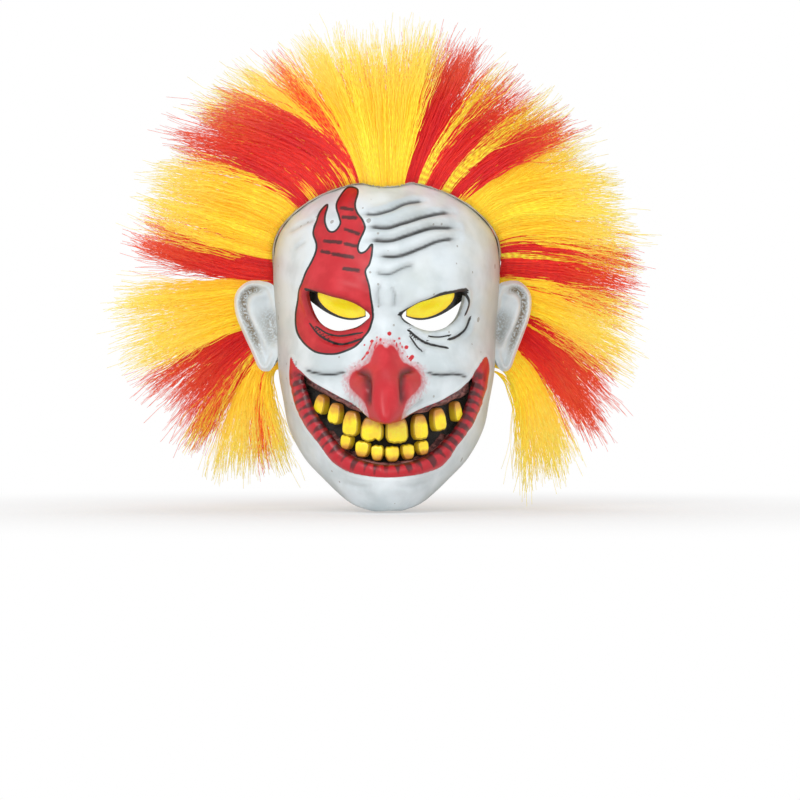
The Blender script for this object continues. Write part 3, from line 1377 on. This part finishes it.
@dataclass
class Mouth:
    """Gums, teeth and dark cloth."""

    gum_deep: float = 8.5
    cloth_wall: float = 0.7
    cloth_deep: float = 11.9

    def patch(self, span: tuple, low: list, high: list, cols: int, rows: int) -> tuple:
        """A grid over a region of the front.

        Args:
            span: First and last x.
            low: Lower edge.
            high: Upper edge.
            cols: Steps across.
            rows: Steps up.

        Returns:
            The bmesh, the x and z of its points, and their places on the grid.
        """
        bm = grid(cols, rows)
        uv = places(bm)[:, :2]
        x = span[0] + (span[1] - span[0]) * uv[:, 0]
        bottom, top = hermite(low, x), hermite(high, x)
        return bm, np.stack([x, bottom + (top - bottom) * uv[:, 1]], 1), uv

    def gum(self, name: str, body: str, span: tuple, low: list, high: list, front: float,
            finish: bpy.types.Material) -> None:
        """Build one gum block, swollen round its teeth."""
        bm, flat, uv = self.patch(span, low, high, 96, 22)
        away = np.min([t.outline(flat) for t in TEETH if t.name.startswith(name[:5])], 0)
        swell = 0.9 * bell(away - 2.6, 1.3) + 0.25 * np.sin(flat[:, 0] * 1.1) * np.sin(
            flat[:, 1] * 0.9 + 1)
        edge = ease(np.minimum(uv[:, 1], 1 - uv[:, 1]), 0, 0.16)
        co = HEAD.behind(flat[:, 0], flat[:, 1], front + 0.9 - 0.8 * swell * edge
                         + (1 - edge) * 1.2, False)
        put_places(bm, co)
        keep(bm, "socket", away)
        obj = finished(name + "_cast", bm, body, finish, (name,))
        self.face_front(obj)
        thicken(obj, self.gum_deep - 2.0)

    def face_front(self, obj: bpy.types.Object) -> None:
        """Turn a front sheet's faces towards the viewer."""
        if sum(p.normal.y for p in obj.data.polygons) > 0:
            obj.data.flip_normals()

    def cloth(self, name: str, span: tuple, low: list, high: list,
              finish: bpy.types.Material) -> None:
        """Build the stretched cloth behind the teeth, which opens with the jaw."""
        bm, flat, uv = self.patch(span, low, high, 96, 48)
        wave = 0.25 * np.sin(flat[:, 0] * 0.45 + flat[:, 1] * 0.3) + 0.15 * np.sin(
            flat[:, 1] * 0.8 - flat[:, 0] * 0.2)
        put_places(bm, HEAD.behind(flat[:, 0], flat[:, 1], self.cloth_deep + wave, False))
        area = sum(f.calc_area() for f in bm.faces)
        wide = span[1] - span[0]
        bend = HEAD.behind(np.linspace(*span, 80), hermite(low, np.linspace(*span, 80)), 12, False)
        tall = float(np.max(hermite(high, flat[:, 0]) - hermite(low, flat[:, 0]))) * 1.08
        put_map(bm, uv[:, 0] * wide / 10, uv[:, 1] * tall / 10)
        obj = finished(name, bm, None, finish, ("upper_backing", "lower_backing"))
        self.face_front(obj)
        thicken(obj, self.cloth_wall)
        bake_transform(obj)

    def lens(self, name: str, sign: int, finish: bpy.types.Material) -> None:
        """Build one coloured eye patch."""
        bm = grid(44, 24)
        uv = places(bm)[:, :2]
        x = 14.1 + 37.8 * uv[:, 0]
        low, high = hermite(LENS_LOW, x), hermite(LENS_TOP, x)
        z = low + 0.05 + (high - low - 0.1) * uv[:, 1]
        yellow = rounded([(12.5, 4.5), (17, 2.3), (24, 1.7), (31, 3.2), (38, 6.6), (43, 10.6),
                          (46.4, 15.5), (46.5, 21), (40, 25), (22, 24), (12, 14)], True)
        rim = -signed(np.stack([x, z], 1), yellow)
        co = HEAD.behind(x, z, 3.95, True)
        co[:, 0] *= sign
        put_places(bm, co)
        keep(bm, "rim", rim)
        obj = finished(name + "_patch", bm, "head", finish, (name,))
        self.face_front(obj)
        thicken(obj, 1.1)

    def make(self) -> None:
        """Build everything in the mouth and eyes."""
        lens = LensPaint().make()
        self.lens("eye_lens_left", -1, lens)
        self.lens("eye_lens_right", 1, lens)
        gum = GumPaint().make()
        up = [(x, z + 6.8) for x, z in LIP_TOP]
        self.gum("upper_gum", "head", (-54, 56), ROOT_TOP, up, 2.9, gum)
        down = [(x, z - 6.4) for x, z in ROOT_LOW]
        self.gum("lower_gum", "jaw", (-40, 42), down, ROOT_LOW, 3.4, gum)
        cloth = Cloth("mouth_cloth", (30, 29, 28), (8, 8, 8), 14).make()
        self.cloth("mouth_cloth", (-62, 64), [(x, z - 7) for x, z in LIP_LOW],
                   [(x, z + 6) for x, z in LIP_TOP], cloth)
        enamel = ToothPaint().make()
        for tooth in TEETH:
            tooth.make(enamel, "head" if tooth.up > 0 else "jaw")


@dataclass
class Pads:
    """Foam in the brow and in the chin cup."""

    seat: float = 2.85

    def make(self) -> None:
        """Build both pads."""
        foam = Foam().make()
        self.pad("brow_pad", "head", (-34, 34), (46, 76), 9.5, foam)
        self.pad("chin_pad", "jaw", (-42, 42), (-116, -104), 8.5, foam)

    def pad(self, name: str, body: str, turn: tuple, tall: tuple, deep: float,
            finish: bpy.types.Material) -> None:
        """Build one crowned pad with rounded edges, glued to the latex."""
        bm = bmesh.new()
        bmesh.ops.create_cube(bm, size=2)
        bmesh.ops.subdivide_edges(bm, edges=bm.edges, cuts=17, use_grid_fill=True)
        p = places(bm)
        q = p * ((np.abs(p) ** 7).sum(1) ** (-1 / 7))[:, None]
        u, v, w = q.T
        crown = (1 - 0.22 * (u**4 + v**4) / 2) * (1 + 0.03 * np.sin(u * 9 + v * 4))
        depth = self.seat + 0.1 + (w + 1) / 2 * (deep - self.seat - 0.3) * crown
        a = turn[0] + (turn[1] - turn[0]) * (u + 1) / 2
        z = tall[0] + (tall[1] - tall[0]) * (v + 1) / 2
        put_places(bm, HEAD.skin(a, z) - HEAD.outward(a, z) * depth[:, None])
        obj = finished(name + "_foam", bm, body, finish, (name,))


# ---- Hair ----
@dataclass(frozen=True)
class Tape:
    """A sewn tape glued over the head: bearings and heights along it."""

    name: str
    bearings: tuple
    heights: tuple
    width: float = 12.0
    thick: float = 1.2

    def last(self) -> float:
        """Number of the last place along the tape."""
        return self.bearings[-1][0]

    def spot(self, t: Points, lift: float = 0.0) -> tuple[Points, Points, Points]:
        """Places on the skin under the tape.

        Args:
            t: How far along.
            lift: Height over the skin.

        Returns:
            The places, the unit normals and the unit directions along.
        """
        def on(s: Points) -> Points:
            return HEAD.skin(hermite(self.bearings, s), hermite(self.heights, s))

        n = HEAD.outward(hermite(self.bearings, t), hermite(self.heights, t))
        along = on(t + 0.02) - on(t - 0.02)
        along /= np.maximum(np.linalg.norm(along, axis=1, keepdims=True), 1e-9)
        return on(t) + n * lift, n, along

    def make(self, finish: bpy.types.Material) -> None:
        """Build the tape with its hems and two rows of stitches."""
        steps = int(self.last() * 14)
        bm = grid(8, steps)
        uv = places(bm)[:, :2]
        t = 0.03 + (self.last() - 0.06) * uv[:, 1]
        p, n, along = self.spot(t, SEAT)
        side = np.cross(n, along)
        v = uv[:, 0] * 2 - 1
        rise = self.thick * (0.86 + 0.14 * bell(np.abs(v) - 0.8, 0.12))
        put_places(bm, p + side * (v * self.width / 2 * 0.99)[:, None] + n * rise[:, None])
        run = np.interp(t, [0, self.last()], [0, 3.2 * self.last()])
        put_map(bm, v * 0.6, run)
        obj = finished(self.name + "_sewn", bm, "head", finish, (self.name,))
        middle = obj.data.polygons[len(obj.data.polygons) // 2]
        if middle.normal.dot(Vector(n[len(n) // 2])) < 0:
            obj.data.flip_normals()
        thicken(obj, self.thick * 0.8)
        self.stitches(obj)

    def stitches(self, obj: bpy.types.Object) -> None:
        """Sew two rows of thread onto the tape."""
        bm = bmesh.new()
        bm.from_mesh(obj.data)
        for t in np.arange(0.12, self.last() - 0.1, 0.14):
            p, n, along = self.spot(np.array([t]), SEAT + self.thick + 0.1)
            side = np.cross(n, along)[0]
            for s in (-1, 1):
                at = Vector((p[0] + side * s * self.width * 0.36) * MM)
                turn = Vector(along[0]).to_track_quat("X", "Z").to_matrix().to_4x4()
                turn.translation = at
                made = bmesh.ops.create_cube(bm, size=MM, matrix=turn)["verts"]
                across = Vector(along[0])
                for v in made:
                    v.co = at + (v.co - at) * 0.5 + across * (v.co - at).dot(across) * 2.2
        bm.to_mesh(obj.data)
        bm.free()


TAPES = (
    Tape("tape_front", ((0, -108), (1, -112), (2, -106), (3, -86), (4, -58), (5, -25), (6, 0),
                        (7, 25), (8, 58), (9, 86), (10, 106), (11, 112), (12, 108)),
         ((0, -31), (1, 0), (2, 32), (3, 65), (4, 87), (5, 97), (6, 94), (7, 97), (8, 87), (9, 65),
          (10, 32), (11, 0), (12, -31))),
    Tape("tape_crown", ((0, -128), (1, -132), (2, -144), (3, -180), (4, -216), (5, -228),
                        (6, -232)),
         ((0, 22), (1, 52), (2, 80), (3, 98), (4, 80), (5, 52), (6, 22))),
    Tape("tape_rear", ((0, -148), (1, -180), (2, -212)), ((0, 66), (1, 68), (2, 66))),
)


class Hue(Enum):
    """Colour of a tuft."""

    YELLOW = "hair_yellow"
    RED = "hair_red"


@dataclass(frozen=True)
class Tuft:
    """A fan of crimped fibres from a stretch of tape to a line of tips.

    The stripes are places across the fan where fibres of the other colour run.
    """

    number: int
    hue: Hue
    tape: int
    start: float
    end: float
    tip_a: tuple
    tip_b: tuple
    stripes: tuple = ()
    deep: float = 11.0
    lift: float = 0.32
    least: int = 310
    per_mm: float = 6.0
    lock_wide: float = 2.2
    root_deep: float = 2.0
    root_back: float = 5.6
    strays: float = 0.16
    stray_far: float = 6.0

    def fibres(self, rng: np.random.Generator, steps: int) -> tuple[Points, Points, dict]:
        """Lay out the centre lines.

        Args:
            rng: Source of the scatter.
            steps: Points along each fibre.

        Returns:
            Centres as fibre by step by xyz, radii, and numbers kept for each fibre.
        """
        a, b = np.array(self.tip_a, float), np.array(self.tip_b, float)
        fan = float(np.linalg.norm(a - b))
        locks = max(14, int(fan / self.lock_wide))
        count = int(self.least + self.per_mm * fan)
        lock = rng.integers(0, locks, count)
        centre = (np.arange(locks) + 0.5 + rng.uniform(-0.4, 0.4, locks)) / locks
        s = np.clip(centre[lock] + rng.normal(0, 0.8 / locks, count), -0.03, 1.03)
        depth = rng.uniform(-1, 1, locks)[lock] * 0.75 + rng.normal(0, 0.25, count)
        tape = TAPES[self.tape]
        p0, n, along = tape.spot(self.start + (self.end - self.start) * s, 1.75)
        side = np.cross(n, along)
        p0 = p0 + side * (depth * self.root_deep - self.root_back)[:, None]
        length = rng.uniform(0.88, 1.04, locks)[lock] * np.minimum(
            1.04, rng.normal(0.94, 0.10, count))
        back = np.array([0.0, 1.0, 0.0]) if self.tape < 2 else np.array([0.0, 0.3, 1.0])
        aim = a + (b - a) * s[:, None] + back * (depth * self.deep)[:, None]
        aim = aim + rng.normal(0, 3.2, (locks, 3))[lock] + rng.normal(0, 3.4, (count, 3))
        p2 = p0 + (aim - p0) * length[:, None]
        reach = np.linalg.norm(p2 - p0, axis=1)
        p1 = p0 + n * (reach * self.lift)[:, None] + rng.normal(0, 1.6, (count, 3))
        u = np.linspace(0, 1, steps)[None, :, None]
        c = ((1 - u) ** 2 * p0[:, None] + 2 * u * (1 - u) * p1[:, None] + u**2 * p2[:, None])
        g = np.gradient(c, axis=1)
        g /= np.linalg.norm(g, axis=2, keepdims=True)
        flat = np.cross(g, np.cross(g, back + 0.01))
        flat /= np.maximum(np.linalg.norm(flat, axis=2, keepdims=True), 1e-9)
        third = np.cross(g, flat)
        u = u[..., 0]
        grow = ease(u, 0.06, 0.55)
        phase = rng.uniform(0, 1, locks)[lock][:, None] + rng.normal(0, 0.05, count)[:, None]
        waves = reach[:, None] / rng.uniform(10.5, 13.5, locks)[lock][:, None]
        crimp = np.sin(math.tau * (waves * u + phase))
        turn = np.cos(math.tau * (waves * u * 0.52 + phase * 3))
        size = (0.55 + 0.75 * ease(u, 0.5, 1.0)) * grow
        c = c + flat * (crimp * size)[..., None] + third * (turn * size * 0.8)[..., None]
        stray = rng.uniform(0, 1, (count, 1)) < self.strays
        loose = rng.normal(0, 1, (count, 3)) * stray * self.stray_far
        c = c + loose[:, None] * (ease(u, 0.4, 1.0) ** 2)[..., None]
        thick = rng.uniform(0.8, 1.15, count)[:, None] * (0.41 - 0.27 * ease(u, 0.3, 1.0))
        other = np.zeros(count)
        for middle, half in self.stripes:
            other = np.maximum(other, np.abs(centre[lock] - middle) < half)
        tone = 0.55 * rng.uniform(0, 1, locks)[lock] + 0.45 * rng.uniform(0, 1, count)
        tone *= 0.75 + 0.25 * np.clip(0.5 - depth * 0.6, 0, 1)
        kept = {"tone": np.repeat(tone[:, None], steps, 1),
                "stray": np.repeat(other[:, None], steps, 1),
                "along": np.repeat(u, count, 0), "wave": waves * 1.8 * u + phase}
        return c, thick, kept

    def make(self, finish: bpy.types.Material, steps: int) -> None:
        """Build the tuft from copies of one three-sided fibre."""
        rng = np.random.default_rng(7100 + self.number)
        c, thick, kept = self.fibres(rng, steps)
        count = len(c)
        g = np.gradient(c, axis=1)
        g /= np.linalg.norm(g, axis=2, keepdims=True)
        x = np.cross(g, (0.13, 0.71, 0.69))
        x /= np.maximum(np.linalg.norm(x, axis=2, keepdims=True), 1e-9)
        y = np.cross(g, x)
        shape = bmesh.new()
        bmesh.ops.create_grid(shape, x_segments=3, y_segments=steps - 1, size=1)
        shape.verts.ensure_lookup_table()
        quads = np.array([[v.index for v in f.verts] for f in shape.faces])
        shape.free()
        ring, step = quads % 4, quads // 4
        loop = (ring % 3) + step * 3
        caps = np.array([[2, 1, 0], [0, 1, 2]]) + np.array([[0], [(steps - 1) * 3]])
        turns = np.arange(3) * math.tau / 3
        points = (c[:, :, None] + x[:, :, None] * (np.cos(turns)[:, None] * thick[..., None, None])
                  + y[:, :, None] * (np.sin(turns)[:, None] * thick[..., None, None]))
        lift = (np.arange(count) * steps * 3)[:, None, None]
        sides = (loop[None] + lift).reshape(-1, 4)
        ends = (caps[None] + lift).reshape(-1, 3)
        name = f"tuft_{self.number:02d}"
        mesh = bpy.data.meshes.new(name)
        mesh.from_pydata((points.reshape(-1, 3) * MM).tolist(), [],
                         sides.tolist() + ends.tolist())
        mesh.shade_smooth()
        mesh.materials.append(finish)
        obj = linked(name + "_fibres", mesh)
        for key, numbers in kept.items():
            store(obj, key, np.repeat(numbers.reshape(-1), 3))
        first = mesh.polygons[0]
        middle = Vector(c[0, 0] * MM)
        if first.normal.dot(Vector(first.center) - middle) < 0:
            mesh.flip_normals()
        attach(obj, "head")
        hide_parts(name)
        LOG.info("%s: %d fibres", obj.name, count)


Y, R = Hue.YELLOW, Hue.RED
TUFTS = (
    Tuft(1, Y, 0, 0.0, 0.5, (-66, 24, -94), (-124, 22, -106), ((0.35, 0.08),)),
    Tuft(2, R, 0, 0.45, 1.3, (-130, 14, -88), (-171, 12, -42), ((0.2, 0.06),)),
    Tuft(3, Y, 0, 1.2, 2.1, (-171, 2, -34), (-183, 2, 28)),
    Tuft(4, R, 0, 2.05, 2.5, (-171, 6, 54), (-170, 6, 74)),
    Tuft(5, Y, 0, 2.45, 3.85, (-167, -8, 66), (-156, -6, 122)),
    Tuft(6, R, 0, 3.7, 5.3, (-153, -2, 122), (-108, 0, 164)),
    Tuft(7, Y, 0, 4.0, 5.0, (-136, 22, 154), (-96, 22, 178)),
    Tuft(8, Y, 0, 4.8, 5.7, (-102, 8, 176), (-46, 4, 198), ((0.22, 0.06), (0.45, 0.03))),
    Tuft(9, Y, 0, 5.55, 6.4, (-56, -18, 196), (44, -14, 202)),
    Tuft(10, R, 0, 6.35, 7.1, (42, -4, 192), (66, -2, 192)),
    Tuft(11, R, 0, 7.0, 8.1, (74, -6, 182), (134, -6, 134), ((0.16, 0.05), (0.62, 0.09))),
    Tuft(12, Y, 0, 7.9, 8.6, (116, 22, 156), (150, 20, 108)),
    Tuft(13, Y, 0, 8.3, 9.3, (150, -6, 106), (177, -6, 44)),
    Tuft(14, R, 0, 9.1, 10.0, (172, 4, 52), (166, 4, 6), ((0.3, 0.05),)),
    Tuft(15, Y, 0, 9.8, 10.7, (171, 2, 12), (164, 2, -36)),
    Tuft(16, R, 0, 10.4, 11.3, (160, 10, -34), (144, 10, -84)),
    Tuft(17, Y, 0, 11.3, 12.0, (136, 22, -96), (98, 22, -116)),
    Tuft(18, Y, 1, 0.05, 0.6, (-134, 96, -44), (-146, 104, 6)),
    Tuft(19, R, 1, 0.85, 1.5, (-152, 104, 42), (-142, 102, 102)),
    Tuft(20, Y, 1, 1.6, 2.5, (-126, 96, 134), (-66, 90, 176)),
    Tuft(21, R, 1, 2.6, 3.4, (-34, 76, 194), (34, 76, 194)),
    Tuft(22, Y, 1, 3.5, 4.4, (66, 90, 176), (126, 96, 134)),
    Tuft(23, R, 1, 4.5, 5.15, (142, 102, 102), (152, 104, 42)),
    Tuft(24, Y, 1, 5.4, 5.95, (146, 104, 6), (134, 96, -44)),
    Tuft(25, R, 2, 0.1, 0.9, (-94, 164, 62), (-30, 172, 74)),
    Tuft(26, Y, 2, 1.1, 1.9, (30, 172, 74), (94, 164, 62)),
)


@dataclass
class Hair:
    """All tapes and tufts."""

    steps: int = 14

    def make(self) -> None:
        """Build the tapes, then the tufts in order."""
        weave = Cloth("tape_weave", (226, 222, 208), (150, 140, 120), 6).make()
        for tape in TAPES:
            tape.make(weave)
        yellow, red = (255, 238, 70), (240, 58, 42)
        finish = {
            Hue.YELLOW: Fibre("fibre_yellow", yellow, (255, 204, 48), (250, 240, 128), red).make(),
            Hue.RED: Fibre("fibre_red", red, (214, 30, 40), (244, 112, 62), yellow).make()}
        for tuft in TUFTS:
            tuft.make(finish[tuft.hue], self.steps)


# ---- Strap, patches and buckle ----
@dataclass
class Strap:
    """Elastic strap over the back of the wearer's head, its patches and its buckle."""

    height: float = 30.0
    wide: float = 18.0
    thick: float = 1.4
    start: float = 127.0
    out: float = 147.0
    back_y: float = 98.0
    slide_x: float = 24.0

    def deep(self) -> float:
        """Depth of the strap's middle under the skin where it is glued."""
        return 2.5 + SEAT + self.wide**2 / 400 + self.thick / 2

    def path(self) -> Points:
        """Middle line of the strap from above, from its right end to its left."""
        a = np.arange(self.start, self.out + 0.1, 2.0)
        z = np.full(len(a), self.height)
        arc = (HEAD.skin(a, z) - HEAD.outward(a, z) * self.deep())[:, :2]
        p, q = arc[-1], np.array([self.slide_x, self.back_y])
        g = (arc[-1] - arc[-2]) / np.linalg.norm(arc[-1] - arc[-2])
        h = np.linalg.norm(q - p) * 0.36
        s = (np.arange(1, 25) / 24)[:, None]
        u = 1 - s
        curve = (u**3 * p + 3 * u * u * s * (p + g * h) + 3 * u * s * s * (q + (h, 0)) + s**3 * q)
        half = np.vstack([arc, curve])
        return np.vstack([half, half[::-1] * (-1, 1)])

    def make(self, latex: bpy.types.Material) -> None:
        """Build the strap and patches, and finish the buckle."""
        path = self.path()
        run = np.concatenate([[0], np.cumsum(np.linalg.norm(np.diff(path, axis=0), axis=1))])
        bm = grid(12, 220)
        uv = places(bm)[:, :2]
        at = uv[:, 1] * run[-1]
        x, y = (np.interp(at, run, path[:, i]) for i in (0, 1))
        gx, gy = (np.gradient(np.interp(np.linspace(0, run[-1], 221), run, path[:, i]))
                  for i in (0, 1))
        turn = np.interp(at, np.linspace(0, run[-1], 221), np.unwrap(np.arctan2(gy, gx)))
        v = uv[:, 0] * 2 - 1
        rib = 0.07 * np.cos(v * 9 * np.pi) * (np.abs(v) < 0.95) - 0.10
        half = self.thick / 2 + rib - 0.18 * ease(np.abs(v), 0.9, 1.0)
        z = self.height + v * self.wide / 2 * (0.985 + 0.01 * np.sin(at * 2.2))
        put_places(bm, np.stack([x + np.sin(turn) * half, y - np.cos(turn) * half, z], 1))
        put_map(bm, at / 10, v * 0.9)
        finish = Cloth("elastic_weave", (38, 38, 42), (10, 10, 12), 12, 5.0).make()
        obj = finished("strap_elastic", bm, "head", finish, ("strap",))
        pick = obj.data.polygons[len(obj.data.polygons) // 2]
        if pick.normal.y < 0:
            obj.data.flip_normals()
        thicken(obj, self.thick * 0.86)
        for name, sign in (("strap_patch_left", -1), ("strap_patch_right", 1)):
            self.patch(name, sign, latex)
        moulded = Moulded().make()
        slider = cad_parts["strap_slider"]
        slider.data.materials.clear()
        slider.data.materials.append(moulded)

    def patch(self, name: str, sign: int, finish: bpy.types.Material) -> None:
        """Build a glued latex patch with a feathered edge."""
        bm = grid(20, 36)
        uv = places(bm)[:, :2]
        a = 125.1 + 8.8 * uv[:, 0]
        z = self.height + (uv[:, 1] - 0.5) * (self.wide + 5.8)
        u, w = np.abs(uv * 2 - 1).T
        edge = np.maximum(u, w)
        depth = self.deep() + self.thick / 2 + 0.95 + 0.45 * ease(edge, 0.6, 1.0)
        depth += 0.08 * np.sin(a * 5) * np.sin(z * 1.3)
        co = HEAD.skin(a, z) - HEAD.outward(a, z) * depth[:, None]
        co[:, 0] *= sign
        put_places(bm, co)
        obj = finished(name + "_glued", bm, "head", finish, (name,))
        if (obj.data.polygons[0].normal.x * sign) < 0:
            obj.data.flip_normals()
        thicken(obj, 0.6)


# ---- Studio ----
@dataclass
class Studio:
    """Pale floor and backdrop, soft light, and the camera at the front."""

    aim: tuple = (0.0094, -0.080, -0.052)
    away: float = 2.2
    lens: float = 147.8
    floor_gap: float = 0.0015
    rise_from: float = 3.4

    def ground(self, low: float) -> None:
        """Build a pale sheet that is a floor and rises behind as a backdrop."""
        bm = bmesh.new()
        bmesh.ops.create_grid(bm, x_segments=24, y_segments=48, size=6.0)
        for v in bm.verts:
            over = max(0.0, v.co.y - self.rise_from)
            depth = min(v.co.y, self.rise_from + over * 0.45)
            v.co = (v.co.x, depth, low - self.floor_gap + over**1.6 * 1.1)
        mesh = bpy.data.meshes.new("studio_sheet")
        bm.to_mesh(mesh)
        bm.free()
        mesh.shade_smooth()
        f = Finish("studio_paper", 0.8)
        where = f.place()
        grain = f.noise(30, where, 2.0)
        f.colour(f.mix(grain, paint(240, 240, 240), paint(246, 246, 246)))
        glow = f.add("ShaderNodeEmission")
        glow.inputs[0].default_value = (1, 1, 1, 1)
        far = f.add("ShaderNodeVectorMath", operation="LENGTH")
        f.feed(far.inputs[0], where)
        share = f.times(f.seen(), f.fade(far.outputs["Value"], 0.16, 0.55, 0.45, 1.0))
        both = f.add("ShaderNodeMixShader")
        f.feed(both.inputs[0], share)
        f.feed(both.inputs[1], f.shader.outputs[0])
        f.feed(both.inputs[2], glow.outputs[0])
        f.feed(next(n for n in f.tree.nodes if n.type == "OUTPUT_MATERIAL").inputs[0],
               both.outputs[0])
        mesh.materials.append(f.mat)
        linked("studio_sheet", mesh)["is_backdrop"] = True

    def lamp(self, name: str, at: tuple, power: float, size: float) -> None:
        """Hang a soft square lamp that faces the mask."""
        light = bpy.data.lights.new(name, "AREA")
        light.energy, light.size = power, size
        obj = linked(name, light)
        obj.location = at
        obj.rotation_euler = (Vector((0, 0, 0.02)) - Vector(at)).to_track_quat("-Z", "Y").to_euler()

    def sky(self) -> None:
        """Light the scene evenly, and show white behind it."""
        world = bpy.data.worlds.new("studio_air")
        world.use_nodes = True
        g = Graph(world.node_tree)
        g.tree.nodes.clear()
        lit, shown = g.add("ShaderNodeBackground"), g.add("ShaderNodeBackground")
        lit.inputs[0].default_value = (0.97, 0.98, 1, 1)
        lit.inputs[1].default_value = 0.52
        shown.inputs[0].default_value, shown.inputs[1].default_value = (1, 1, 1, 1), 1.0
        both = g.add("ShaderNodeMixShader")
        g.feed(both.inputs[0], g.seen())
        g.feed(both.inputs[1], lit.outputs[0])
        g.feed(both.inputs[2], shown.outputs[0])
        g.feed(g.add("ShaderNodeOutputWorld").inputs[0], both.outputs[0])
        bpy.context.scene.world = world

    def make(self, low: float) -> None:
        """Set up the whole studio over a floor height."""
        self.ground(low)
        self.sky()
        self.lamp("key", (-0.9, -2.1, 1.1), 21.0, 1.2)
        self.lamp("fill", (1.3, -1.9, 0.1), 9.0, 1.4)
        self.lamp("low", (0.0, -2.0, -0.08), 4.0, 0.8)
        self.lamp("top", (0.1, 0.9, 1.9), 12.0, 1.4)
        data = bpy.data.cameras.new("camera")
        data.lens, data.sensor_width = self.lens, 36.0
        cam = linked("camera", data)
        cam.location = (self.aim[0], self.aim[1] - self.away, self.aim[2])
        cam.rotation_euler = (math.pi / 2, 0, 0)
        bpy.context.scene.camera = cam
        bpy.context.scene.view_settings.view_transform = "Standard"


def main() -> None:
    """Build every sub-assembly in order."""
    logging.basicConfig(level=logging.INFO, format="%(message)s")
    low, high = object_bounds()
    Studio().make(low[2])
    Skin().make()
    latex = BareLatex("ear_latex", (234, 242, 246), (214, 224, 228), "fold").make()
    Ears().make(latex)
    Mouth().make()
    Pads().make()
    Strap().make(BareLatex("patch_latex", (212, 206, 186), (184, 176, 150)).make())
    Hair().make()
    bpy.context.view_layer.update()
    low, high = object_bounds()


if __name__ == "__main__":
    main()
